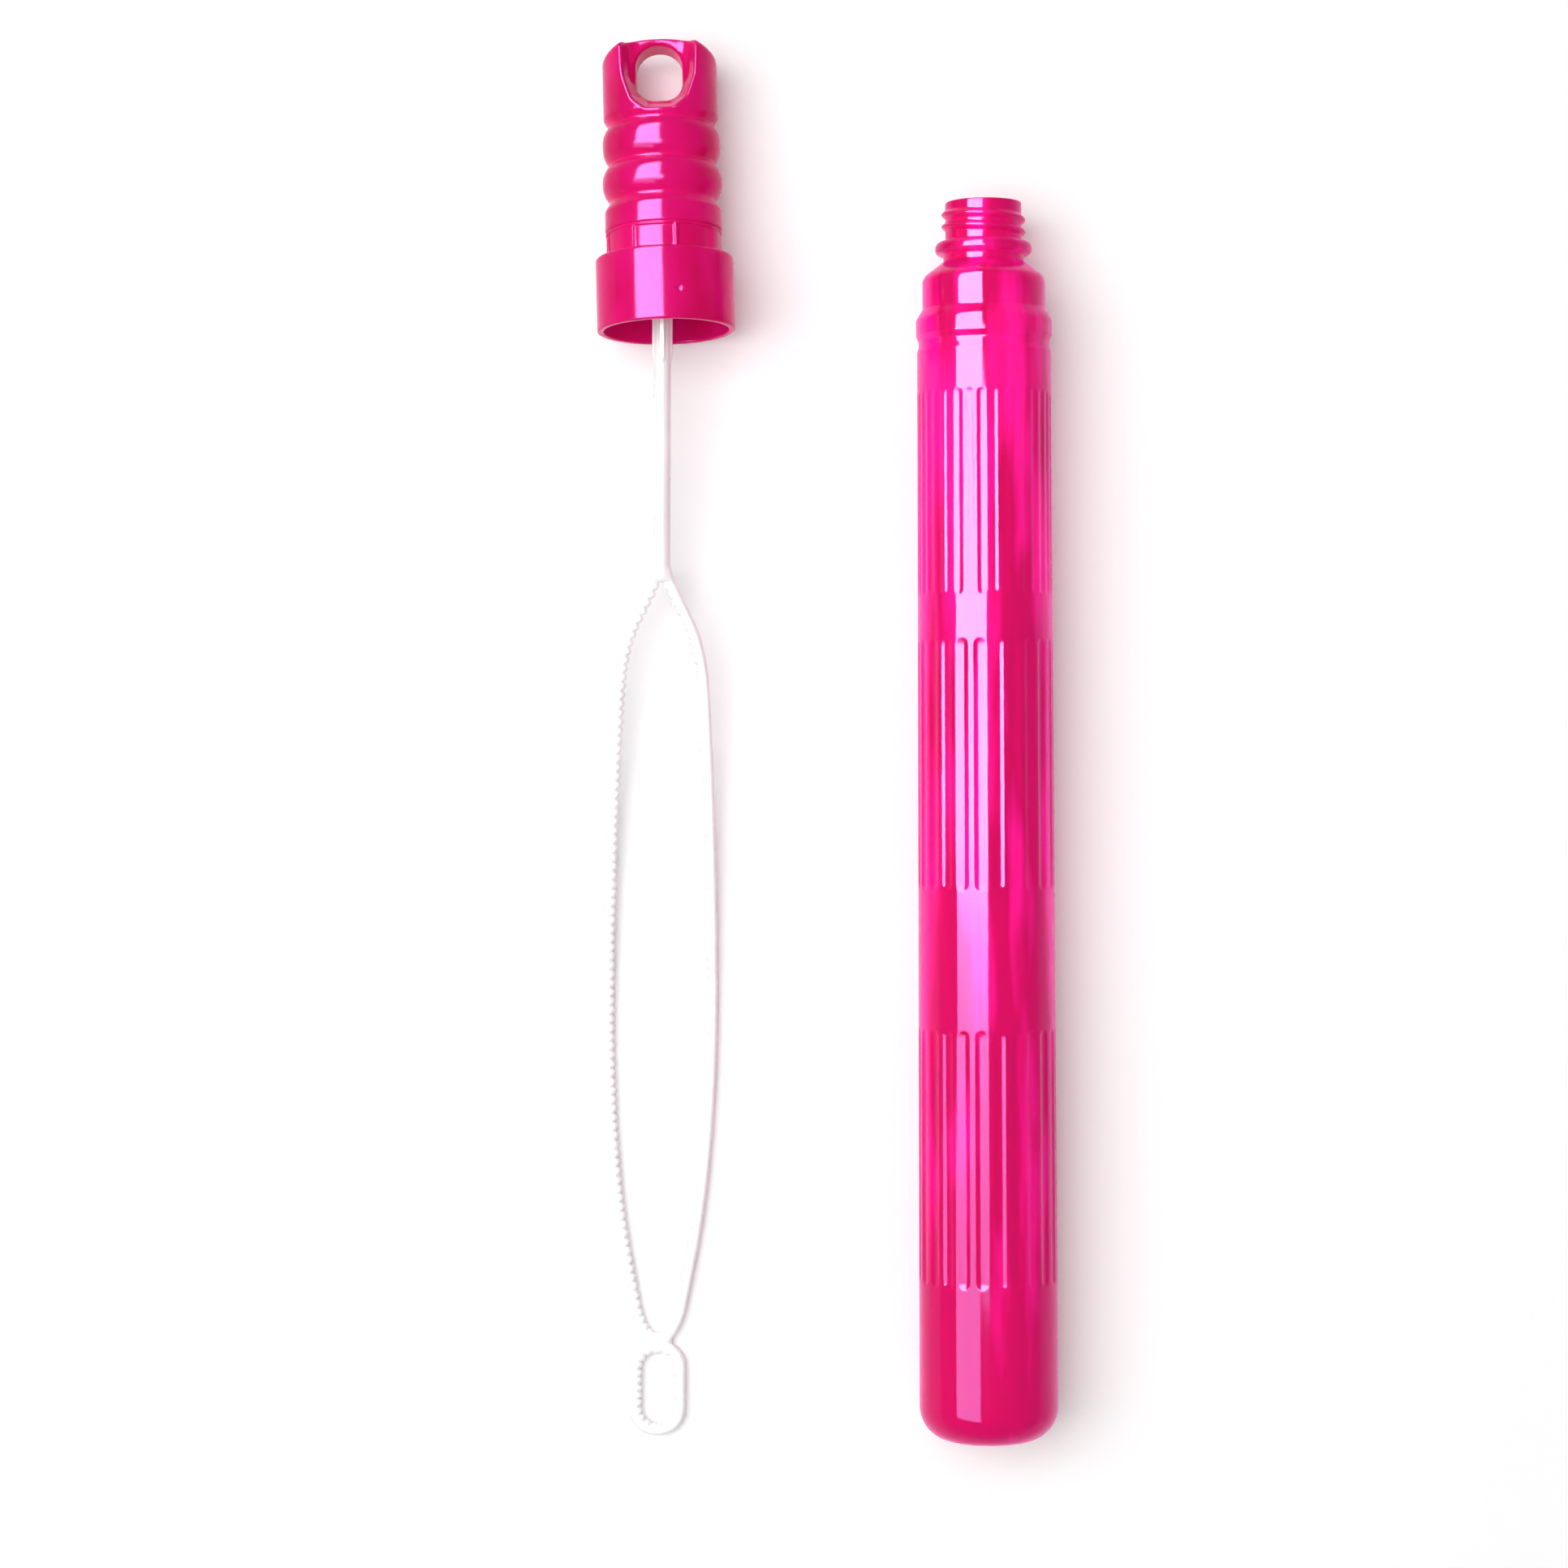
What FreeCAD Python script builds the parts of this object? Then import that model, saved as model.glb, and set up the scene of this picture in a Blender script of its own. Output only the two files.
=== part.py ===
import FreeCAD
import Part
import os
from math import acos, atan2, ceil, cos, degrees, pi, radians, sin, tan

# A bubble wand taken out of its tube. The open tube bottle lies along +Y with its mouth
# towards +Y. Beside it lies the screw cap with its grip, opening towards -Y, and the
# white wand that hangs on in the cap. All sizes are millimetres, the table is z = 0.

# Bottle: a blown tube with a fluted body, a shoulder and a narrow neck
bottle_len = 316.4
wall = 1.1
body_r_foot = 17.7
body_r_top = 17.1
body_len = 276.3
base_corner = 8.5
base_rise = 1.8
base_rise_r = 5.6
base_ring_r = 8.2
waist_r = 16.7
waist_len = 1.7
waist_slope = 1.2
ring_r = 17.35
ring_len = 4.6
ring_round = 2.0
ring_slope = 3.5
shoulder_r = 15.68
shoulder_len = 8.4
shoulder_round = 3.0
shoulder_cone = 4.2
neck_r = 10.3
neck_foot_len = 1.4
bead_r = 12.36
bead_len = 3.9
bead_round = 0.9
mouth_r = 9.75
mouth_round = 0.45
bore_r = 8.5

# Flutes of the bottle: three bands of shallow grooves with two sides and sloping ends
flute_starts = (39.1, 140.8, 215.6)
flute_ends = (103.5, 204.6, 269.0)
flute_body_r = (17.4, 17.4, 17.1)
flute_counts = (24, 24, 36)
flute_wide = (3.1, 3.1, 2.4)
flute_depth = (0.34, 0.34, 0.26)
flute_rim = 0.1
flute_first_deg = 86.5
# Run over which the body narrows before each band, towards the mouth
taper_run = 2.0

# Cap: a screw collar and a grip with a hole for a cord, in one moulding
cap_len = 75.4
collar_len = 18.9
collar_r = 17.65
collar_chamfer = 1.0
grip_r = 14.95
window_start = 20.6
window_end = 27.5
window_depth = 0.5
window_count = 8
window_rib = 0.9
window_first_deg = 103.9
sleeve_end = 30.6
groove_places = (33.0, 42.4, 52.4)
groove_r = 13.5
bulge_r = (15.3, 15.05)
bulge_flank = 2.3
crown_start = 54.4
crown_r = 14.7
crown_corner_in = 3.3
crown_corner_down = 3.6
crown_arch = 1.6
collar_clear = 0.27
collar_depth = 13.4
bead_clear = 0.4
bead_depth = 19.0
thread_bore_r = 11.35
ledge_depth = 31.4
hollow_r = 9.6
hollow_depth = 52.0

# Hole for a hand cord, with a dished scoop in front and behind. Both hang from the cap's
# top. The scoop's rim is given where it meets the crown, from the top to the foot, and
# its sides slope inwards by a share of their depth.
cord_hole_drop = 9.75
cord_hole_wide = 12.0
cord_hole_high = 15.3
cord_hole_round_top = 5.7
cord_hole_round_foot = 4.4
scoop_half_wide = (11.7, 10.4, 7.6, 3.6)
scoop_drop = (11.4, 18.0, 20.9)
scoop_face = 4.6
scoop_slope_share = 0.37

# Seal and the head of the wand, which snaps into the cap
head_thick = 1.5
head_clear = 0.05
spigot_len = 2.2
seal_thick = 1.5
seal_bore_r = 6.2
seal_clear = 0.2

# Wand: stem, long loop and tip loop, 3 mm thick, drooping from the cap to the table
wand_thick = 3.0
stem_r = 2.2
root_half_wide = 2.6
root_web = 1.4
root_end = 38.0
loop_start = 90.3
loop_end = 290.6
loop_half = 14.95
loop_member = 2.55
loop_apex_half = 0.7
tip_start = 290.3
tip_end = 314.9
tip_half = 7.3
tip_round = 6.8
tip_member = 2.75
neck_half = 3.15
tooth_pitch = 2.32
tooth_depth = 0.62
tip_tooth_pitch = 1.95
tip_tooth_depth = 0.45
sag_round_top = 260.0
sag_round_low = 600.0
sag_deg = 6.0

# Outline of the long loop, as shares of its length and of its half width
loop_shares = (
    (0.0, 0.147), (0.03, 0.33), (0.08, 0.645), (0.185, 0.86), (0.342, 0.95), (0.52, 1.0),
    (0.62, 0.995), (0.72, 0.935), (0.84, 0.776), (0.945, 0.524), (0.985, 0.355), (1.0, 0.21),
)
# A tooth along the inner edge, as shares of its pitch and of its depth
tooth_shares = ((0.0, 0.0), (0.5, 1.0))

# Places on the table
bottle_x = 40.8
bottle_base_y = -178.86
cap_x = -40.4
cap_y = 104.78
cap_yaw_deg = 1.36
wand_yaw_deg = 0.66

# One overrun that serves every cut
over = 1.0

# Rounds are cut in facets that fall short of the true curve by this much at most, and
# by more where nobody sees them and by less along the wand
facet_drop = 0.45
inner_facet_drop = 0.7
sag_facet_drop = 0.25

TURN_DEG = 360.0
MEET = 1e-7
AXIS_Y = FreeCAD.Vector(0, 1, 0)
ORIGIN = FreeCAD.Vector(0, 0, 0)


def flat(across, along):
    """A point of an outline that is drawn across and along an axis."""
    return FreeCAD.Vector(across, along, 0)


def corner_arc(corners, index):
    """Start, middle and end of the arc that rounds one corner, and its half opening."""
    across, along, radius = corners[index]
    here = flat(across, along)
    before = flat(*corners[index - 1][:2]) - here
    after = flat(*corners[(index + 1) % len(corners)][:2]) - here
    before.normalize()
    after.normalize()
    half = before.getAngle(after) / 2
    middle = before + after
    middle.normalize()
    reach = radius / tan(half)
    centre = here + middle * (radius / sin(half))
    return here + before * reach, centre - middle * radius, here + after * reach, centre, half


def rounded_edges(corners):
    """Edges of a closed outline whose corners (across, along, radius) are rounded."""
    edges = []
    last = None
    for index, (across, along, radius) in enumerate(corners):
        start = end = flat(across, along)
        if radius:
            start, through, end, _, _ = corner_arc(corners, index)
        if last is not None:
            edges.append(Part.makeLine(last, start))
        if radius:
            edges.append(Part.Arc(start, through, end).toShape())
        last = end
    first = edges[0].Vertexes[0].Point
    if corners[0][2]:
        first = corner_arc(corners, 0)[0]
    edges.append(Part.makeLine(last, first))
    return edges


def facet_count(turn, radius, drop):
    """How many facets an arc needs to keep within the allowed drop."""
    return ceil(turn / (2 * acos(max(1 - drop / radius, 0))))


def faceted(corners, drop):
    """Points of an outline whose corners (across, along, radius) are cut in facets."""
    points = []
    for index, (across, along, radius) in enumerate(corners):
        if not radius:
            points.append(flat(across, along))
            continue
        start, _, end, centre, half = corner_arc(corners, index)
        turn = pi - half * 2
        points += swept(centre, start, end, turn, facet_count(turn, radius, drop))
    return points


def swept(centre, start, end, turn, steps):
    """Points on an arc about a centre, from its start to its end in equal steps."""
    spoke = start - centre
    sense = 1 if spoke.x * (end - centre).y > spoke.y * (end - centre).x else -1
    points = []
    for step in range(steps + 1):
        angle = sense * turn * step / steps
        points.append(centre + flat(
            spoke.x * cos(angle) - spoke.y * sin(angle),
            spoke.x * sin(angle) + spoke.y * cos(angle),
        ))
    return points


def turned(points):
    """A solid of revolution about the Y axis from the points of a closed outline."""
    outline = []
    for point in points:
        if not outline or not point.isEqual(outline[-1], MEET):
            outline.append(point)
    face = Part.Face(Part.Wire(polygon(outline)))
    return face.revolve(ORIGIN, AXIS_Y, TURN_DEG)


def prism(edges, low, high):
    """A flat outline made into a solid between two heights."""
    plate = Part.Face(Part.Wire(edges)).extrude(FreeCAD.Vector(0, 0, high - low))
    plate.translate(FreeCAD.Vector(0, 0, low))
    return plate


def box(half_wide, start, end, low, high):
    """A box that is centred across the axis."""
    corner = FreeCAD.Vector(-half_wide, start, low)
    return Part.makeBox(half_wide * 2, end - start, high - low, corner)


def polygon(points):
    """Edges of a closed outline of straight runs."""
    return Part.makePolygon(points + points[:1]).Edges


def mirrored(points):
    """The same points on the other side of the axis, in reverse order."""
    return [flat(-point.x, point.y) for point in reversed(points)]


# Bottle
waist_start = body_len + waist_slope
waist_end = waist_start + waist_len
ring_start = waist_end + waist_slope
ring_end = ring_start + ring_len
shoulder_start = ring_end + ring_slope + waist_slope
shoulder_end = shoulder_start + shoulder_len - waist_slope
neck_start = shoulder_end + shoulder_cone
bead_start = neck_start + neck_foot_len
bead_end = bead_start + bead_len


def bottle_outside():
    """Corners of the bottle's outer face, from its base to its mouth."""
    taper = []
    wider = body_r_foot
    for start, radius in zip(flute_starts, flute_body_r):
        if radius < wider:
            taper.append((wider, start - taper_run, 0))
            wider = radius
            taper.append((wider, start, 0))
    return [
        (0, base_rise, 0),
        (base_rise_r, base_rise, 0),
        (base_ring_r, 0, 0),
        (body_r_foot, 0, base_corner),
        *taper,
        (body_r_top, body_len, 0),
        (waist_r, waist_start, 0),
        (waist_r, waist_end, 0),
        (ring_r, ring_start, 0),
        (ring_r, ring_end, ring_round),
        (shoulder_r, shoulder_start - waist_slope, 0),
        (shoulder_r, shoulder_end, shoulder_round),
        (neck_r, neck_start, 0),
        (neck_r, bead_start, 0),
        (bead_r, bead_start, bead_round),
        (bead_r, bead_end, bead_round),
        (mouth_r, bead_end, 0),
        (mouth_r, bottle_len, mouth_round),
        (bore_r, bottle_len, 0),
    ]


def bottle_inside():
    """Corners of the bottle's inner face, from its mouth back to its base."""
    return [
        (bore_r, bottle_len, 0),
        (bore_r, neck_start, 0),
        (shoulder_r - wall, shoulder_end - wall, 0),
        (shoulder_r - wall, shoulder_start - waist_slope, 0),
        (body_r_top - wall, ring_end, 0),
        (body_r_top - wall, wall, base_corner - wall),
        (base_ring_r, wall, 0),
        (base_rise_r, base_rise + wall, 0),
        (0, base_rise + wall, 0),
    ]


def groove_tool(rim, keel):
    """A solid of flat faces between four rim corners and the two ends of its keel."""
    head, tail = keel
    loops = [
        rim, [rim[0], rim[1], tail, head], [rim[2], rim[3], head, tail],
        [rim[1], rim[2], tail], [rim[3], rim[0], head],
    ]
    return Part.Solid(Part.Shell([Part.Face(Part.Wire(polygon(loop))) for loop in loops]))


def flute_tool(start, end, radius, wide, depth):
    """The tool for one flute of a band, facing +X: a shallow V with sloping ends."""
    half = wide / 2
    rise = radius + flute_rim
    keel_place = radius - depth
    rim = [
        FreeCAD.Vector(rise, end, half),
        FreeCAD.Vector(rise, start, half),
        FreeCAD.Vector(rise, start, -half),
        FreeCAD.Vector(rise, end, -half),
    ]
    keel = [
        FreeCAD.Vector(keel_place, end - half, 0),
        FreeCAD.Vector(keel_place, start + half, 0),
    ]
    return groove_tool(rim, keel)


def make_bottle():
    """The bottle: a thin turned wall, cut by its three bands of flutes."""
    outside = faceted(bottle_outside(), facet_drop)
    bottle = turned(outside + faceted(bottle_inside(), inner_facet_drop))
    tools = []
    bands = zip(flute_starts, flute_ends, flute_body_r, flute_wide, flute_depth)
    for band, count in zip(bands, flute_counts):
        first = flute_tool(*band)
        for index in range(count):
            tool = first.copy()
            turn = -flute_first_deg - index * TURN_DEG / count
            tool.rotate(ORIGIN, AXIS_Y, turn)
            tools.append(tool)
    bottle = bottle.cut(Part.makeCompound(tools))
    bottle.translate(FreeCAD.Vector(bottle_x, bottle_base_y, body_r_foot))
    return bottle


# Cap. It leans on the upper corner of its collar and on the grip at the foot of the
# scoop, which lifts its opening a little off the table.
scoop_foot = cap_len - scoop_drop[-1]
cap_tilt = atan2(collar_r - crown_r, scoop_foot - (collar_len - collar_chamfer))
cap_z = scoop_foot * sin(cap_tilt) + crown_r * cos(cap_tilt)


def place_cap(shape):
    """Move a shape from the cap's own axis, with the rim at zero, to its place."""
    turn = FreeCAD.Rotation(cap_yaw_deg, 0, -degrees(cap_tilt))
    seat = FreeCAD.Placement(FreeCAD.Vector(cap_x, cap_y, cap_z), turn)
    shape.Placement = seat.multiply(shape.Placement)
    return shape


def grip_outline():
    """The grip's outline from the sleeve to the crown: two bulges between grooves."""
    low, middle, top = groove_places
    points = [flat(grip_r, sleeve_end), flat(groove_r, low)]
    for start, end, radius in ((low, middle, bulge_r[0]), (middle, top, bulge_r[1])):
        points.append(flat(radius, start + bulge_flank))
        points.append(flat(radius, end - bulge_flank))
        points.append(flat(groove_r, end))
    return points + [flat(crown_r, crown_start)]


def cap_body():
    """The turned body of the cap, with its collar, thread bore and hollow grip."""
    skirt_r = shoulder_r + collar_clear
    collar = [
        flat(skirt_r, 0),
        flat(collar_r, 0),
        flat(collar_r, collar_len - collar_chamfer),
        flat(collar_r - collar_chamfer, collar_len),
        flat(grip_r, collar_len),
    ]
    crown = [
        flat(crown_r, cap_len - crown_corner_down),
        flat(crown_r - crown_corner_in, cap_len),
        flat(0, cap_len),
    ]
    bores = [
        flat(0, hollow_depth),
        flat(hollow_r, hollow_depth),
        flat(hollow_r, ledge_depth),
        flat(thread_bore_r, ledge_depth),
        flat(thread_bore_r, bead_depth),
        flat(bead_r + bead_clear, bead_depth),
        flat(bead_r + bead_clear, collar_depth),
        flat(skirt_r, collar_depth),
    ]
    return turned(collar + grip_outline() + crown + bores)


def crown_top():
    """What lies above the arched top of the crown, to be cut away."""
    high = cap_len + over
    foot = cap_len - crown_arch
    arch = Part.Arc(flat(-crown_r, foot), flat(0, cap_len), flat(crown_r, foot)).toShape()
    ends = [flat(crown_r, foot), flat(crown_r, high), flat(-crown_r, high), flat(-crown_r, foot)]
    return prism([arch] + Part.makePolygon(ends).Edges, -crown_r, crown_r)


def window_band():
    """The sunk band of windows, less the narrow ribs that part them."""
    length = window_end - window_start
    outer = Part.makeCylinder(grip_r + over, length, flat(0, window_start), AXIS_Y)
    inner = Part.makeCylinder(grip_r - window_depth, length, flat(0, window_start), AXIS_Y)
    tools = [inner]
    for index in range(window_count):
        corner = FreeCAD.Vector(-window_rib / 2, window_start, 0)
        rib = Part.makeBox(window_rib, length, grip_r + over, corner)
        rib.rotate(ORIGIN, AXIS_Y, window_first_deg + index * TURN_DEG / window_count)
        tools.append(rib)
    return outer.cut(tools)


def cord_hole():
    """The hole for a hand cord, right through from front to back."""
    half = cord_hole_wide / 2
    middle = cap_len - cord_hole_drop
    low = middle - cord_hole_high / 2
    high = middle + cord_hole_high / 2
    corners = [
        (-half, low, cord_hole_round_foot),
        (half, low, cord_hole_round_foot),
        (half, high, cord_hole_round_top),
        (-half, high, cord_hole_round_top),
    ]
    return prism(rounded_edges(corners), -grip_r - over, grip_r + over)


def inset(chain, depth):
    """A chain of straight runs, drawn in to its left by a depth."""
    headings = [(after - here).normalize() for here, after in zip(chain, chain[1:])]
    normals = [flat(-heading.y, heading.x) for heading in headings]
    normals = normals[:1] + normals + normals[-1:]
    points = []
    for point, before, after in zip(chain, normals, normals[1:]):
        points.append(point + (before + after) * (depth / (1 + before.dot(after))))
    return points


def scoop(side):
    """The dished scoop in front (side 1) or behind (side -1) of the cord hole."""
    stations = [cap_len + over] + [cap_len - drop for drop in scoop_drop]
    left = [flat(-wide, along) for wide, along in zip(scoop_half_wide, stations)]
    rim = left + mirrored(left)
    loops = []
    for level in (scoop_face, grip_r + over):
        chain = inset(rim, (crown_r - level) * scoop_slope_share)
        loops.append([FreeCAD.Vector(point.x, point.y, side * level) for point in chain])
    floor, mouth = loops
    walls = zip(floor, floor[1:] + floor[:1], mouth[1:] + mouth[:1], mouth)
    faces = [Part.Face(Part.Wire(polygon(list(loop)))) for loop in (floor, mouth, *walls)]
    return Part.Solid(Part.Shell(faces))


def make_cap():
    """The cap: turned body, windows, arched top, cord hole and scoops."""
    cap = cap_body()
    for cut in (window_band(), crown_top(), cord_hole(), scoop(1), scoop(-1)):
        cap = cap.cut(cut)
    return place_cap(cap)


# Wand
head_front = ledge_depth - head_thick
seal_front = head_front - seal_thick
root_x = cap_x - head_front * cos(cap_tilt) * sin(radians(cap_yaw_deg))
root_y = cap_y + head_front * cos(cap_tilt) * cos(radians(cap_yaw_deg))
root_z = cap_z - head_front * sin(cap_tilt)


def bent_run(station, slope_end, radius):
    """Stations (along, height, slope) on an arc from a station to another slope."""
    along, height, slope = station
    sense = 1 if slope_end > slope else -1
    turn = abs(slope_end - slope)
    steps = facet_count(turn, radius, sag_facet_drop)
    stations = []
    for step in range(1, steps + 1):
        now = slope + sense * turn * step / steps
        stations.append((
            along + sense * radius * (sin(now) - sin(slope)),
            height + sense * radius * (cos(slope) - cos(now)),
            now,
        ))
    return stations


def droop_line():
    """Stations of the wand's centre line from its head to where the droop is straight."""
    start = (0, root_z, cap_tilt)
    return [start] + bent_run(start, -radians(sag_deg), sag_round_top)


def sag_line():
    """Stations of the wand's whole centre line, from its head to its tip."""
    sag = radians(sag_deg)
    droop = droop_line()
    along, height, _ = droop[-1]
    lie = wand_thick / 2
    last = lie + sag_round_low * (1 - cos(sag))
    landing = (along + (height - last) / tan(sag), last, -sag)
    rest = [landing] + bent_run(landing, 0, sag_round_low)
    return droop + rest + [(tip_end + over, lie, 0)]


def off_line(station, rise):
    """The point that lies a distance above the centre line at a station."""
    along, height, slope = station
    return FreeCAD.Vector(0, along - rise * sin(slope), height + rise * cos(slope))


def bent_plate(thick, half_wide):
    """A plate of one thickness that follows the wand's centre line to its tip."""
    stations = sag_line()
    top = [off_line(station, thick / 2) for station in stations]
    bottom = [off_line(station, -thick / 2) for station in reversed(stations)]
    outline = Part.Wire(polygon(top + bottom))
    plate = Part.Face(outline).extrude(FreeCAD.Vector(half_wide * 2, 0, 0))
    plate.translate(FreeCAD.Vector(-half_wide, 0, 0))
    return plate


def stem_bar():
    """The round stem: a circle run along the centre line as far as the fork."""
    stations = droop_line()
    points = [off_line(station, 0) for station in stations]
    run = loop_start + loop_member - stations[-1][0]
    points.append(points[-1] + FreeCAD.Vector(0, run, run * tan(stations[-1][2])))
    path = Part.Wire(Part.makePolygon(points).Edges)
    ring = Part.Wire(Part.makeCircle(stem_r, points[0], points[1] - points[0]))
    return path.makePipeShell([ring], True, False, 1)


def loop_edge_curve():
    """The outer edge of one side of the long loop, as a smooth curve."""
    length = loop_end - loop_start
    points = [flat(loop_half * wide, loop_start + length * along) for along, wide in loop_shares]
    curve = Part.BSplineCurve()
    curve.interpolate(points)
    return curve


def inward(curve, place, depth, centre):
    """The point that lies a depth inside a curve, at a parameter of the curve."""
    point = curve.value(place)
    heading = curve.tangent(place)[0]
    normal = flat(heading.y, -heading.x)
    if normal.dot(centre - point) < 0:
        normal = normal * -1
    return point + normal * depth


def toothed_side(curve, member, pitch, depth, centre):
    """Points of a toothed edge that runs inside a curve: one tooth for each pitch."""
    length = curve.length()
    count = int(length // pitch)
    first = curve.FirstParameter
    points = []
    for index in range(count):
        for along, height in tooth_shares:
            place = curve.parameterAtDistance(length * (index + along) / count, first)
            points.append(inward(curve, place, member + depth * height, centre))
    return points


def long_loop_plan():
    """Outer and inner outline of the long loop."""
    curve = loop_edge_curve()
    outer = curve.toShape()
    other = outer.mirror(ORIGIN, FreeCAD.Vector(1, 0, 0))
    ends = [
        Part.makeLine(outer.Vertexes[0].Point, other.Vertexes[0].Point),
        Part.makeLine(outer.Vertexes[-1].Point, other.Vertexes[-1].Point),
    ]
    centre = flat(0, (loop_start + loop_end) / 2)
    teeth = toothed_side(curve, loop_member, tooth_pitch, tooth_depth, centre)
    inside = [point for point in teeth if point.x > loop_apex_half]
    low = inside[0].y
    high = inside[-1].y
    inside = [point for point in inside if low <= point.y <= high]
    return Part.__sortEdges__([outer, other] + ends), polygon(inside + mirrored(inside))


def tip_loop_plan():
    """Outer and inner outline of the tip loop, a slot shape with round ends."""
    middle = (tip_start + tip_end) / 2
    outer = [
        (tip_half, tip_start, tip_round),
        (tip_half, tip_end, tip_round),
        (-tip_half, tip_end, tip_round),
        (-tip_half, tip_start, tip_round),
    ]
    half = tip_half - tip_member
    straight = (tip_end - tip_start) / 2 - tip_half
    length = straight * 4 + half * pi * 2
    count = int(length // tip_tooth_pitch)
    points = []
    for index in range(count):
        for along, height in tooth_shares:
            run = length * (index + along) / count
            points.append(slot_point(run, half, straight, tip_tooth_depth * height, middle))
    return rounded_edges(outer), polygon(points)


def slot_point(run, half, straight, depth, middle):
    """The point at a run around a slot outline, drawn in by a depth."""
    side = straight * 2
    lap = side + half * pi
    leg = run % lap
    sense = 1 if run < lap else -1
    if leg < side:
        return flat(sense * (half - depth), middle + sense * (leg - straight))
    turn = (leg - side) / half
    reach = half - depth
    return flat(sense * reach * cos(turn), middle + sense * (straight + reach * sin(turn)))


def wand_plan():
    """The flat outline of both loops, as one solid higher than the wand's sag."""
    top = root_z + loop_half
    solids = []
    for outer, inner in (long_loop_plan(), tip_loop_plan()):
        solids.append(prism(outer, -over, top).cut(prism(inner, -over - over, top + over)))
    neck = box(neck_half, loop_end - loop_member, tip_start + tip_member, -over, top)
    return solids[0].fuse([solids[1], neck])


def stem_root():
    """The crossed webs that stiffen the stem where it leaves the head."""
    broad = bent_plate(root_web, root_half_wide)
    tall = bent_plate(root_half_wide * 2, root_web / 2)
    keep = box(root_half_wide + over, 0, root_end, 0, root_z * 2)
    return broad.common(keep).fuse(tall.common(keep))


def wand_head():
    """The head: a disc against the ledge in the cap, and a spigot in its hollow."""
    disc = Part.makeCylinder(
        thread_bore_r - head_clear, head_thick, flat(0, head_front), AXIS_Y
    )
    spigot = Part.makeCylinder(
        hollow_r - head_clear, spigot_len, flat(0, ledge_depth), AXIS_Y
    )
    return place_cap(disc.fuse(spigot))


def make_wand():
    """The wand: its head in the cap and the sagging stem and loops, in one piece."""
    plate = bent_plate(wand_thick, loop_half + over)
    loops = plate.common(wand_plan())
    sagging = loops.fuse([stem_bar(), stem_root()])
    sagging.rotate(ORIGIN, FreeCAD.Vector(0, 0, 1), TURN_DEG / 2 - wand_yaw_deg)
    sagging.translate(flat(root_x, root_y))
    return sagging.fuse(wand_head())


def make_seal():
    """The soft ring that the bottle's lip closes against, under the wand's head."""
    outer = Part.makeCylinder(thread_bore_r - seal_clear, seal_thick, flat(0, seal_front), AXIS_Y)
    inner = Part.makeCylinder(seal_bore_r, seal_thick, flat(0, seal_front), AXIS_Y)
    return place_cap(outer.cut(inner))


def main():
    """Build every piece and write each to its own file."""
    os.makedirs("parts", exist_ok=True)
    pieces = {
        "bottle": make_bottle(),
        "cap_handle": make_cap(),
        "sealing_washer": make_seal(),
        "bubble_wand": make_wand(),
    }
    whole = Part.makeCompound(list(pieces.values())).optimalBoundingBox()
    print("cap tilt", round(degrees(cap_tilt), 3), "rim height", round(cap_z, 3))
    print("root", round(root_x, 3), round(root_y, 3), round(root_z, 3))
    print("box", whole)
    for name, shape in pieces.items():
        print(name, "valid", shape.isValid(), "solids", len(shape.Solids), "faces",
              len(shape.Faces), "volume", round(shape.Volume, 1))
        shape.exportStep("parts/" + name + ".step")


main()
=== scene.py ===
"""The looks of the bubble wand: an open tube bottle beside its screw cap with the wand.

Sizes in the classes are millimetres in the frame of the solids: +Z up, the table at z = 0,
the bottle's mouth towards +Y and the cap's opening towards -Y. A corner of an outline is its
radius or half width, its station along the piece and its rounding.
"""

import logging
import math
from collections.abc import Callable
from dataclasses import dataclass
from enum import Enum

import bpy
import numpy as np
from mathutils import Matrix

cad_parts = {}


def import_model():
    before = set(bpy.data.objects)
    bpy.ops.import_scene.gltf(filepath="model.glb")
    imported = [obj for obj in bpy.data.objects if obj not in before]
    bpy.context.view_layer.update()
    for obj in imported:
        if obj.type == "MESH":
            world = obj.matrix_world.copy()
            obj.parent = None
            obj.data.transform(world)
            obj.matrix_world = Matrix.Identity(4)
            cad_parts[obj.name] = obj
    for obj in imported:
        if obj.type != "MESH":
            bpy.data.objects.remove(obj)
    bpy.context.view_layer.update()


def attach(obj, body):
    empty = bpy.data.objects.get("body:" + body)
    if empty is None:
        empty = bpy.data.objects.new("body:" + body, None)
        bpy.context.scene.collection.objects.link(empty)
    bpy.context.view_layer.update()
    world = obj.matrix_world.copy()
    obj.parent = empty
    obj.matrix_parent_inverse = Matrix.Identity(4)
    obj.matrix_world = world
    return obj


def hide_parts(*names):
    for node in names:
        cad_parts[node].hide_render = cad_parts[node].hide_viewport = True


LOG = logging.getLogger("bubble_wand")
MM = 0.001
TINY = 1e-12
FULL_WHITE = (1.0, 1.0, 1.0, 1.0)
THREAD_PITCH = 3.1
ARC_STEP_DEG = 7.0
ROWS_AT_ONCE = 12
Points = np.ndarray
Field = Callable[[Points], np.ndarray]
Pair = tuple[float, float]
Place = tuple[float, float, float]
Corner = tuple[float, float, float]
Colour = tuple[float, float, float]
Socket = bpy.types.NodeSocket
Tree = bpy.types.NodeTree


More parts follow.
